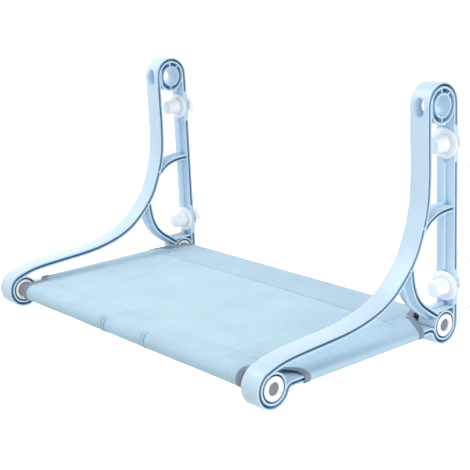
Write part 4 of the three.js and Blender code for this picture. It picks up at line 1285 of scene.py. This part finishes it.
        out = []
        for side in (1, -1):
            out += [placed(fold, side, False) for fold in self.BACK_FOLDS]
            out += [placed(fold, side, True) for fold in self.FRONT_FOLDS]
        out += [placed(fold, -1, False) for fold in self.LEFT_FOLDS]
        out += [placed(self.RIGHT_FOLD, 1, False), placed(self.RIGHT_FRONT_FOLD, 1, True)]
        return out + [placed(fold, 1, True, from_side=False) for fold in self.MIDDLE_FOLDS]

    # Gathers of the front sleeve: place across as a share of its half width, and rise in millimetres
    GATHER_SHARES = ((-0.193, 2.0), (-0.172, 3.4), (-0.148, 2.8), (-0.126, 1.6),
                     (0.196, 2.2), (0.218, 3.0), (0.24, 1.4))
    BULGE_SHARES = ((-0.155, 0.5), (0.22, 0.4))
    # Valleys between the gathers: place across and depth of their painted shade
    VALLEY_SHARES = ((-0.183, 0.7), (-0.16, 1.0), (-0.138, 0.8), (0.207, 0.8), (0.229, 1.0))
    GATHER_WIDTH, BULGE_WIDTH, VALLEY_WIDTH = 2.1 * MM, 7 * MM, 1.3 * MM
    # Where they rise and fall on the way round the sleeve, as shares of it
    GATHER_TURN = ((0.02, 0.16), (0.3, 0.55))
    BULGE_TURN = ((0.2, 0.45), (0.6, 0.9))
    VALLEY_TURN = ((0.02, 0.14), (0.45, 0.8))
    SLACK_TURN = (0.05, 0.4)

    # The cloth's unevenness on top: from crest to crest, as a share of the drift, and its own offset
    DRIFT_WAVES = ((52 * MM, 1.0, (0, 0, 0)), (19 * MM, 0.35, (7, 3, 1)))
    TUBE_FADES = (20 * MM, 14 * MM)  # it fades out this close to the back and the front tube
    SEAM_FURROWS, FURROW_WIDTH = (0.5 * MM, 0.15 * MM), 2.2 * MM
    PUCKER_REACH, PUCKER_WAVE, PUCKER_SEED = 11 * MM, (6.5 * MM, 26 * MM), 5
    POCKET_CREASE, POCKET_WAVE, POCKET_SEED = 0.4 * MM, (13 * MM, 60 * MM), 11
    # Slack of the front and back sleeve: even and uneven part, wave across, waves round, seed
    FRONT_SLACK = (0.1 * MM, 0.5 * MM, 58 * MM, 1.6, 3)
    BACK_SLACK = (0.6 * MM, 0.7 * MM, 50 * MM, 1, 9)
    MOUTH_REACH, END_SHARE = 9 * MM, 0.25  # near a sleeve's mouth and a wrap's end the cloth lies flat

    def round_sleeve(self, turn, limits):
        """How much of a gather shows at a share of the way round the sleeve."""
        rise, fall = limits
        return smooth(turn, *rise) * (1 - smooth(turn, *fall))

    def top_move(self, x, along, up, folds):
        """How far out the cloth moves on top of the bed."""
        c, n = self.c, self.length
        seams = (c.back_pocket, n - c.front_pocket)
        inside = smooth(along, 0, self.TUBE_FADES[0]) * smooth(n - along, 0, self.TUBE_FADES[1])
        move = 0.0
        for wave, part, offset in self.DRIFT_WAVES:
            move += part * c.drift * inside * noise.noise(Vector((x, along, up)) / wave + Vector(offset))
        across, down = self.PUCKER_WAVE
        for seam, furrow in zip(seams, self.SEAM_FURROWS):
            move -= furrow * hump(along - seam, self.FURROW_WIDTH)
            pucker = noise.noise(Vector((x / across, along / down, self.PUCKER_SEED)))
            move += c.pucker * hump(along - seam, self.PUCKER_REACH) * pucker
        # The back pocket is two layers of cloth, with small creases across it
        if along < c.back_pocket:
            across, down = self.POCKET_WAVE
            move += self.POCKET_CREASE * noise.noise(Vector((x / across, along / down, self.POCKET_SEED)))
        return move + sum(self.fold(x, along, *fold) for fold in folds)

    def slack(self, x, turn, values):
        """How far a sleeve hangs off its tube at a share of the way round."""
        even, uneven, wave, waves_round, seed = values
        return even + uneven * noise.noise(Vector((x / wave, turn * waves_round, seed)))

    def front_sleeve_move(self, x, turn):
        """Front sleeve: slack cloth, gathered in two places, never inside its tube."""
        move = smooth(turn, *self.SLACK_TURN) * self.slack(x, turn, self.FRONT_SLACK)
        for shares, width, limits in ((self.GATHER_SHARES, self.GATHER_WIDTH, self.GATHER_TURN),
                                      (self.BULGE_SHARES, self.BULGE_WIDTH, self.BULGE_TURN)):
            for place, rise in shares:
                move += rise * MM * hump(x - place * self.half, width) * self.round_sleeve(turn, limits)
        return max(move, 0.0)

    def back_sleeve_move(self, x, turn):
        return max(smooth(1 - turn, *self.SLACK_TURN) * self.slack(x, turn, self.BACK_SLACK), 0.0)

    def ruffle(self):
        """Moves the cloth out along its normals into folds, puckers, gathers and drift."""
        c, n = self.c, self.length
        folds = self.folds()
        for i, x in enumerate(self.xs):
            mouth = smooth(self.half - abs(x), 0, self.MOUTH_REACH)
            for j in range(self.rows):
                along, up = self.grid[i, j, 1], self.grid[i, j, 2]
                if j > self.last_top:
                    turn = (j - self.last_top) / (self.rows - self.last_top)
                    move = mouth * self.front_sleeve_move(x, turn)
                elif j < self.first_top:
                    move = mouth * self.back_sleeve_move(x, j / self.first_top)
                else:
                    move = self.top_move(x, along, up, folds)
                    if along < c.wrap_back or along > n - c.wrap_front:
                        move *= self.END_SHARE + (1 - self.END_SHARE) * mouth
                self.grid[i, j] += self.normals[i, j] * move
        self.normals = self.grid_normals(self.grid)

    # Points of a wrap over the bar: out from the bracket's middle, and their share of its end's rise
    OVER_BAR = ((-4 * MM, 1), (6 * MM, 0.4))
    OVER_EDGE = (2 * MM, 0.7)  # the same, out from the bracket's inner face
    WRAP_ROUND = 4.2 * MM
    FRONT_RISE, BACK_RISE = 2.6 * MM, 1.6 * MM  # how high a wrap's two ends stand off the bar
    RISE_REACH = 34 * MM
    # Unevenness of the rise and of the wrap's sway: height, from crest to crest, seed
    RISE_WAVE = (0.5 * MM, 34 * MM, 3)
    SWAY_WAVE = (0.35 * MM, 24 * MM, 5)

    def wrap_outline(self, along, rise, edge_height):
        """The wrap at one place along the bar: over it, down outside, back under the bed."""
        c, lines, b = self.c, self.lines, self.lines.b
        gap, t = sizes("fitting").gap, c.thickness / 2
        bar_top, bar_bottom = lines.outer - b.bar_drop, -lines.outer - b.bar_drop
        inner, outer = BRACKET_MIDDLE - b.width / 2, BRACKET_MIDDLE + b.width / 2
        strip_low = edge_height - t - c.strip_thick - 2 * gap
        off = gap + t + c.wrap_off
        shoulder = bar_top + off / 2

        def over(x, lift):
            """A point on the line from the bed's edge to the bar's outer corner, lifted."""
            part = (x - self.half) / (outer + off - self.half)
            return x, edge_height + (shoulder - edge_height) * part + lift * rise

        over_edge, edge_lift = self.OVER_EDGE
        corners = [
            (self.half, edge_height), over(inner + over_edge, edge_lift),
            *(over(BRACKET_MIDDLE + x, lift) for x, lift in self.OVER_BAR),
            (outer + off, shoulder), (outer + off, bar_bottom - gap - t),
            (inner - gap - t, bar_bottom - gap - t), (inner - gap - t, 0),
            (self.half, strip_low - t), (self.half - c.tail, strip_low - t),
        ]
        return rounded(corners, self.WRAP_ROUND, self.WRAP_STEPS, closed=False)

    def wrap(self, side):
        """One side wrap as a grid of (step, row); step 0 is the bed's own edge."""
        c = self.c
        column = -1 if side > 0 else 0
        low, high = (self.first_top + r for r in self.wrap_rows)
        out = []
        for j in range(low, high + 1):
            _, along, up = self.grid[column, j]
            from_back, from_front = along - c.notch_back, self.length - c.notch_front - along
            near_front = from_front < from_back
            slant = (c.wrap_back - c.notch_back) * (1 - smooth(from_back, 0, c.notch_reach))
            slant -= (c.wrap_front - c.notch_front) * (1 - smooth(from_front, 0, c.notch_reach))
            height, wave, seed = self.RISE_WAVE
            rise = self.FRONT_RISE if near_front else self.BACK_RISE
            rise *= 1 - smooth(min(from_back, from_front), 0, self.RISE_REACH)
            rise += height * noise.noise(Vector((along / wave, side * seed, 2)))
            height, wave, seed = self.SWAY_WAVE
            row = self.wrap_outline(along, rise, up)
            line = []
            for k, p in enumerate(row):
                sway = height * noise.noise(Vector((along / wave, k / 5, side * seed)))
                sway = sway if 0 < k < len(row) - 1 else 0
                if near_front:
                    over = smooth(p.x, self.half + c.slant_start, BRACKET_MIDDLE + self.OVER_BAR[1][0])
                else:
                    over = min(max((p.x - self.half) / (2 * (BRACKET_MIDDLE - self.half)), 0), 1)
                line.append((side * (p.x + abs(sway)), along + slant * over, p.y if k else up))
            out.append(line)
        return np.array(out).transpose(1, 0, 2)

    def world(self, point):
        """A cloth point in the part's own frame."""
        x, along, up = point
        lines = self.lines
        return Vector((x, BACK_TUBE.y + lines.forward.x * along + lines.upward.x * up,
                       BACK_TUBE.z + lines.forward.y * along + lines.upward.y * up))

    def make_mesh(self, name):
        """The cloth as a single layer, with UVs in metres of flat cloth."""
        verts, faces, flat = [], [], []
        columns, rows = self.grid.shape[:2]
        down = np.linalg.norm(np.diff(self.grid[columns // 2], axis=0), axis=1)
        lengths = np.concatenate([[0], np.cumsum(down)])
        for i in range(columns):
            for j in range(rows):
                verts.append(self.world(self.grid[i, j]))
                flat.append((self.xs[i], lengths[j]))

        def index(i, j):
            return i * rows + j

        for i in range(columns - 1):
            for j in range(rows - 1):
                faces.append((index(i, j), index(i + 1, j), index(i + 1, j + 1), index(i, j + 1)))
        low = self.first_top + self.wrap_rows[0]
        for side, wrap in self.wraps.items():
            column = columns - 1 if side > 0 else 0
            steps, count = wrap.shape[:2]
            ids = [[index(column, low + j) for j in range(count)]]
            step_lengths = np.linalg.norm(np.diff(wrap[:, count // 2], axis=0), axis=1)
            run = np.concatenate([[0], np.cumsum(step_lengths)])
            for k in range(1, steps):
                ids.append([])
                for j in range(count):
                    ids[-1].append(len(verts))
                    verts.append(self.world(wrap[k, j]))
                    flat.append((self.xs[column] + side * run[k], lengths[low + j]))
            for k in range(steps - 1):
                for j in range(count - 1):
                    quad = (ids[k][j], ids[k + 1][j], ids[k + 1][j + 1], ids[k][j + 1])
                    faces.append(quad if side > 0 else quad[::-1])
            self.wrap_run = run[-1]
        self.flat_length = lengths[-1]
        mesh = bpy.data.meshes.new(name)
        mesh.from_pydata(verts, [], faces)
        unwrap(mesh, "cloth", flat)
        # Painted shade for double cloth, seam furrows and gather valleys, which the cloth's material reads
        mark(mesh, "sewn", [self.painted_cloth_shade_at(number, columns, rows) for number in range(len(verts))])
        return mesh

    # How much painted shade of double cloth its wraps, sleeves, front seam and side laps take
    WRAP_DOUBLE, SLEEVE_DOUBLE, FRONT_DOUBLE, LAP_DOUBLE = 0.6, 0.4, 0.4, 0.7
    LAYER_FADE, FRONT_FADE = 1 * MM, 6 * MM  # how softly it changes
    SEAM_WIDTH, SIDE_SEAM = 1.2 * MM, 0.4  # width of a seam's painted shade, and share of it on the sides

    def painted_cloth_shade_at(self, number, columns, rows):
        """Painted shade at a point: how double the cloth is, how close to a seam's furrow, how deep in a
        gather's valley.
        """
        if number >= columns * rows:
            return self.WRAP_DOUBLE, 0.0, 0.0
        i, j = divmod(number, rows)
        c = self.c
        x, along = self.xs[i], self.grid[i, j, 1]
        if j > self.last_top:
            turn = (j - self.last_top) / (self.rows - self.last_top)
            painted_valley_shade = max(depth * hump(x - place * self.half, self.VALLEY_WIDTH)
                         for place, depth in self.VALLEY_SHARES)
            return self.SLEEVE_DOUBLE, 0.0, self.round_sleeve(turn, self.VALLEY_TURN) * painted_valley_shade
        if j < self.first_top:
            return self.SLEEVE_DOUBLE, 0.0, 0.0

        def beyond(place, stop, fade):
            return smooth(place, stop - fade, stop + fade)

        front_seam, lap = self.length - c.front_pocket, self.half - c.lap
        double = max(1 - beyond(along, c.back_pocket, self.LAYER_FADE),
                     self.FRONT_DOUBLE * beyond(along, front_seam, self.FRONT_FADE),
                     self.LAP_DOUBLE * beyond(abs(x), lap, self.LAYER_FADE))
        back, side = hump(along - c.back_pocket, self.SEAM_WIDTH), hump(abs(x) - lap, self.SEAM_WIDTH)
        return double, max(back, self.SIDE_SEAM * side), 0.0

    def edge_path(self, side, end):
        """The cut edge at one corner: along the wrap's end, the notch and the sleeve mouth.

        Gives places, the way into the cloth and the cloth's normal."""
        wrap = self.wraps[side]
        column = -1 if side > 0 else 0
        row = -1 if end == "front" else 0
        step = -1 if end == "front" else 1
        path = []
        for k in range(wrap.shape[0] - 1, 0, -1):
            here = Vector(wrap[k, row])
            inward = Vector(wrap[k, row + step]) - here
            after, before = Vector(wrap[max(k - 1, 0), row]), Vector(wrap[min(k + 1, wrap.shape[0] - 1), row])
            path.append((here, inward, (after - before).cross(inward)))
        low, high = (self.first_top + r for r in self.wrap_rows)
        rows = range(high, self.rows) if end == "front" else range(low, -1, -1)
        neighbour = column + (-1 if side > 0 else 1)
        corner = Vector(self.grid[column, rows[0]])
        first = path[-1][1].normalized()
        second = (Vector(self.grid[neighbour, rows[0]]) - corner).normalized()
        for s in range(1, 5):
            inward = first.lerp(second, s / 4)
            path.append((corner, inward, Vector(self.normals[column, rows[0]]) * side))
        for j in rows[1:]:
            here = Vector(self.grid[column, j])
            inward = Vector(self.grid[neighbour, j]) - here
            path.append((here, inward, Vector(self.normals[column, j])))
        out = []
        for here, inward, normal in path:
            inward = inward.normalized()
            normal = (normal - inward * normal.dot(inward)).normalized()
            if out and out[-1][2].dot(normal) < 0:
                normal = -normal
            out.append((here, inward, normal))
        return out


@cache
def bed():
    """The cloth's shape, worked out once."""
    return Bed()


def direction(shape, vector):
    """A direction of the cloth's own axes, in the part's frame."""
    return shape.world(vector) - shape.world((0, 0, 0))


TAPE_TAPER, TAPE_ROUND = 0.8, 0.7  # a tape's inner edge and corners, as shares of half its thickness


def tape(name, path, shape, low, high, half_thickness, material):
    """A tape folded over a cut edge, from low outside it to high inside it."""
    thin = half_thickness * TAPE_TAPER
    section = rounded([(low, -half_thickness), (high, -thin), (high, thin), (low, half_thickness)],
                      half_thickness * TAPE_ROUND)
    verts, flat, run, last = [], [], 0.0, None
    around = np.cumsum([0] + [(b - a).length for a, b in zip(section, section[1:])])
    for here, inward, normal in path:
        spot = shape.world(here)
        run += (spot - last).length if last is not None else 0
        last = spot
        for number, (into, out) in enumerate(section):
            verts.append(spot + direction(shape, inward) * into + direction(shape, normal) * out)
            flat.append((run, around[number]))
    mesh = bpy.data.meshes.new(name)
    mesh.from_pydata(verts, [], ring_faces(len(path), len(section)))
    unwrap(mesh, "tape", flat)
    work = bmesh.new()
    work.from_mesh(mesh)
    bmesh.ops.recalc_face_normals(work, faces=work.faces)
    work.to_mesh(mesh)
    work.free()
    return finish_object(name, mesh, material, TAPE_SHARP)


# Along a stitch: share of its length, thickness and height of its thread, as shares of the whole
STITCH_STATIONS = ((0, 0.15, 0.0), (0.12, 0.85, 0.4), (0.5, 1.0, 1.0), (0.88, 0.85, 0.4), (1, 0.15, 0.0))
STITCH_START, STITCH_LENGTH = 0.15, 0.7  # where the thread shows, as shares of a stitch
THREAD_SIDES = 6
SUNK = 0.5  # how far a stitch's ends sink in, as a share of the thread's radius


def stitches(name, rows, material):
    """Rows of stitches, each row a list of (place, normal)."""
    c = sizes("cloth")
    verts, faces = [], []
    turns = [2 * math.pi * i / THREAD_SIDES for i in range(THREAD_SIDES)]
    tube_faces = ring_faces(len(STITCH_STATIONS), THREAD_SIDES)
    for row in rows:
        spots = [Vector(place) for place, _ in row]
        runs = np.concatenate([[0], np.cumsum([(b - a).length for a, b in zip(spots, spots[1:])])])
        for number in range(int(runs[-1] / c.stitch)):
            base, ends = len(verts), []
            for part in (0, STITCH_LENGTH):
                at = number * c.stitch + STITCH_START * c.stitch + part * c.stitch
                k = min(int(np.searchsorted(runs, at)), len(spots) - 1)
                t = (at - runs[k - 1]) / max(runs[k] - runs[k - 1], 1e-9)
                ends.append(spots[k - 1].lerp(spots[k], t))
            normal = Vector(row[k][1])
            aside = (ends[1] - ends[0]).normalized().cross(normal).normalized()
            for part, size, lift in STITCH_STATIONS:
                centre = ends[0].lerp(ends[1], part) + normal * c.thread * (lift - SUNK)
                verts += [centre + (aside * math.cos(turn) + normal * math.sin(turn)) * c.thread * size
                          for turn in turns]
            faces += [tuple(base + corner for corner in face) for face in tube_faces]
    mesh = bpy.data.meshes.new(name)
    mesh.from_pydata(verts, [], faces)
    return finish_object(name, mesh, material, CLOTH_SHARP)


class HAMMOCK_OT_cloth_bed(bpy.types.Operator):
    """Builds the cloth bed with its bindings, hook-and-loop strips and sewing"""

    bl_idname = "hammock.cloth_bed"
    bl_label = "Cloth bed"

    def execute(self, context):
        shape = bed()
        c = shape.c
        mesh = shape.make_mesh("stretched_cloth_bed")
        cloth = finish_object("stretched_cloth_bed", mesh, polyester(), CLOTH_SHARP)
        solid = cloth.modifiers.new("Thickness", "SOLIDIFY")
        solid.thickness, solid.offset = c.thickness, 0
        fit(cloth, "hammock", "polyester", "cloth_bed")
        pieces = [*self.bindings(shape), *self.strips(shape), self.sewing(shape)]
        return {"FINISHED"}

    def bindings(self, shape):
        c = shape.c
        made = []
        for side_name, side in SIDES.items():
            for end in ENDS:
                path = shape.edge_path(side, end)
                name = f"{side_name}_{end}"
                piece = tape(f"{name}_edge_binding", path, shape, -c.binding_proud, c.binding_width,
                             c.thickness / 2 + c.binding_proud, binding_tape())
                made.append(fit(piece, "hammock", "binding_tape", f"{name}_binding"))
        return made

    STRIP_WELD, STRIP_EDGE = 0.01 * MM, 0.5 * MM

    def strips(self, shape):
        made = []
        for side_name in SIDES:
            work = bmesh.new()
            work.from_mesh(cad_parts[f"{side_name}_hook_loop_strip"].data)
            bmesh.ops.remove_doubles(work, verts=work.verts, dist=self.STRIP_WELD)
            bmesh.ops.bevel(work, geom=work.edges[:], offset=self.STRIP_EDGE, segments=2, affect="EDGES")
            mesh = mesh_from(f"{side_name}_fastening_strip", work)
            unwrap(mesh, "tape", [vertex.co.xy for vertex in mesh.vertices])
            piece = finish_object(f"{side_name}_fastening_strip", mesh, hook_and_loop())
            made.append(fit(piece, "hammock", "hook_and_loop", f"{side_name}_hook_loop_strip"))
        return made

    BINDING_IN, BINDING_OUT = 0.8, 0.85  # where a binding's row is sewn, as shares of its width and height

    def sewing(self, shape):
        """Stitches along both pocket seams, both wrap seams and the bindings."""
        c, rows = shape.c, []
        lift = c.thickness / 2
        tops = range(shape.first_top, shape.last_top + 1)

        def stitch_at(i, j):
            place, normal = Vector(shape.grid[i, j]), Vector(shape.normals[i, j])
            return shape.world(place + normal * lift), direction(shape, normal).normalized()

        for seam in (c.back_pocket, shape.length - c.front_pocket):
            j = min(tops, key=lambda t: abs(shape.grid[len(shape.xs) // 2, t, 1] - seam))
            rows.append([stitch_at(i, j) for i in range(2, len(shape.xs) - 2)])
        into, out = c.binding_width * self.BINDING_IN, lift + c.binding_proud * self.BINDING_OUT
        low, high = (shape.first_top + r for r in shape.wrap_rows)
        for side in (1, -1):
            lap = side * (shape.half - c.lap)
            i = min(range(len(shape.xs)), key=lambda k: abs(shape.xs[k] - lap))
            rows.append([stitch_at(i, j) for j in range(low, high + 1)])
            for end in ENDS:
                rows.append([(shape.world(here + inward * into + normal * out),
                              direction(shape, normal).normalized())
                             for here, inward, normal in shape.edge_path(side, end)])
        sewn = stitches("bed_sewing", rows, sewing_thread())
        return fit(sewn, "hammock", "polyester")


# --- Stage -------------------------------------------------------------------------------------

# The paper: radius of the round floor and its wall, of the bend between them, and its height
PAPER_WALL, PAPER_BEND, PAPER_TOP, PAPER_SIDES = 5.0, 2.0, 6.5, 96
PAPER_ROWS = (0.05, 0.6, 1.1, 1.35, 1.6, 2.2, PAPER_WALL - PAPER_BEND)
PAPER_TONE, LIT_TONE = 0.78, 0.97
# Its lit part: how far behind the hammock it starts, and how far to the side of the view it ends
LIT_FROM, LIT_TO = (1.1, 1.6), (math.cos(math.radians(85)), math.cos(math.radians(50)))
SKY = "#FAFDFF"
# Place and side of each soft box, named for the property that holds its power
SOFT_BOXES = {"key": ((-0.9, -1.0, 1.8), 1.4), "fill": ((3.0, -1.0, 0.6), 2.0)}
LIGHT_TARGET = (0, -0.2, 0)
SENSOR_WIDTH, CLIP_START, CLIP_END = 36, 0.05, 60


class HAMMOCK_OT_stage(bpy.types.Operator):
    """Builds the floor, the lights and the camera"""

    bl_idname = "hammock.stage"
    bl_label = "Stage"

    def execute(self, context):
        s = sizes("stage")
        self.backdrop(s)
        self.lights(s)
        self.camera(s)
        context.scene.view_settings.view_transform = "Standard"
        context.scene.view_settings.look = "None"
        return {"FINISHED"}

    def backdrop(self, s):
        """A paper floor that rolls up to a wall all round, lit from behind on the far side."""
        bend = arc(Vector((PAPER_WALL - PAPER_BEND, PAPER_BEND)), PAPER_BEND, -math.pi / 2, 0, 16)[1:]
        line = [*((r, 0) for r in PAPER_ROWS), *bend, (PAPER_WALL, PAPER_TOP)]
        level = cad_low.z - s.floor_drop
        turns = [2 * math.pi * k / PAPER_SIDES for k in range(PAPER_SIDES)]
        verts = [Vector((r * math.cos(t), r * math.sin(t), level + z)) for r, z in line for t in turns]
        mesh = bpy.data.meshes.new("studio_paper_sweep")
        mesh.from_pydata(verts, [], ring_faces(len(line), PAPER_SIDES)[:-1])
        away = Vector((-math.sin(s.azimuth), math.cos(s.azimuth)))
        lit = [smooth(away.dot(place.xy), *LIT_FROM) * smooth(away.dot(place.xy) / place.xy.length, *LIT_TO)
               for place in verts]
        mark(mesh, "lit", [(value,) * 3 for value in lit])
        finish_object("studio_paper_sweep", mesh, studio_paper(PAPER_TONE, LIT_TONE, s.glow))

    def lights(self, s):
        world = bpy.data.worlds.new("studio")
        world.use_nodes = True
        back = world.node_tree.nodes["Background"]
        back.inputs["Color"].default_value = (*linear(SKY), 1)
        back.inputs["Strength"].default_value = s.sky
        bpy.context.scene.world = world
        for name, (place, size) in SOFT_BOXES.items():
            data = bpy.data.lights.new(f"{name}_soft_box", "AREA")
            data.shape, data.size, data.energy = "SQUARE", size, getattr(s, name)
            light = bpy.data.objects.new(f"{name}_soft_box", data)
            light.location = place
            light.rotation_euler = (Vector(LIGHT_TARGET) - Vector(place)).to_track_quat("-Z", "Y").to_euler()
            bpy.context.collection.objects.link(light)

    def camera(self, s):
        az, el, roll = s.azimuth, s.elevation, s.roll
        flat_right = Vector((math.cos(az), math.sin(az), 0))
        flat_up = Vector((-math.sin(az) * math.sin(el), math.cos(az) * math.sin(el), math.cos(el)))
        right = flat_right * math.cos(roll) + flat_up * math.sin(roll)
        up = flat_up * math.cos(roll) - flat_right * math.sin(roll)
        data = bpy.data.cameras.new("photo_camera")
        data.lens, data.sensor_width = s.lens, SENSOR_WIDTH
        data.clip_start, data.clip_end = CLIP_START, CLIP_END
        camera = bpy.data.objects.new("photo_camera", data)
        axes = Matrix((right, up, right.cross(up))).transposed()
        camera.matrix_world = Matrix.Translation(s.camera_place) @ axes.to_4x4()
        bpy.context.collection.objects.link(camera)
        bpy.context.scene.camera = camera


class HAMMOCK_PT_build(bpy.types.Panel):
    """Lists the hammock's pieces"""

    bl_idname = "HAMMOCK_PT_build"
    bl_label = "Cat window hammock"
    bl_space_type = "VIEW_3D"
    bl_region_type = "UI"
    bl_category = "Hammock"

    def draw(self, context):
        for step in STEPS:
            self.layout.operator(step.bl_idname, text=step.bl_label)
        for name, group in GROUPS.items():
            box = self.layout.box()
            box.label(text=name.capitalize())
            for key in group.__annotations__:
                box.prop(sizes(name), key)


STEPS = (HAMMOCK_OT_stage, HAMMOCK_OT_brackets, HAMMOCK_OT_suction_cups, HAMMOCK_OT_tubes,
         HAMMOCK_OT_cloth_bed)
GROUPS = {"bracket": HammockBracketSizes, "fitting": HammockFittingSizes, "cloth": HammockClothSizes,
          "colours": HammockColours, "stage": HammockStage}
CLASSES = (*GROUPS.values(), *STEPS, HAMMOCK_PT_build)


def register():
    for cls in CLASSES:
        bpy.utils.register_class(cls)
    for name, group in GROUPS.items():
        setattr(bpy.types.Scene, f"hammock_{name}", PointerProperty(type=group))


def unregister():
    for name in GROUPS:
        delattr(bpy.types.Scene, f"hammock_{name}")
    for cls in reversed(CLASSES):
        bpy.utils.unregister_class(cls)


def main():
    register()
    bpy.ops.hammock.stage()
    bpy.ops.hammock.brackets()
    bpy.ops.hammock.suction_cups()
    bpy.ops.hammock.tubes()
    bpy.ops.hammock.cloth_bed()


if __name__ == "__main__":
    main()
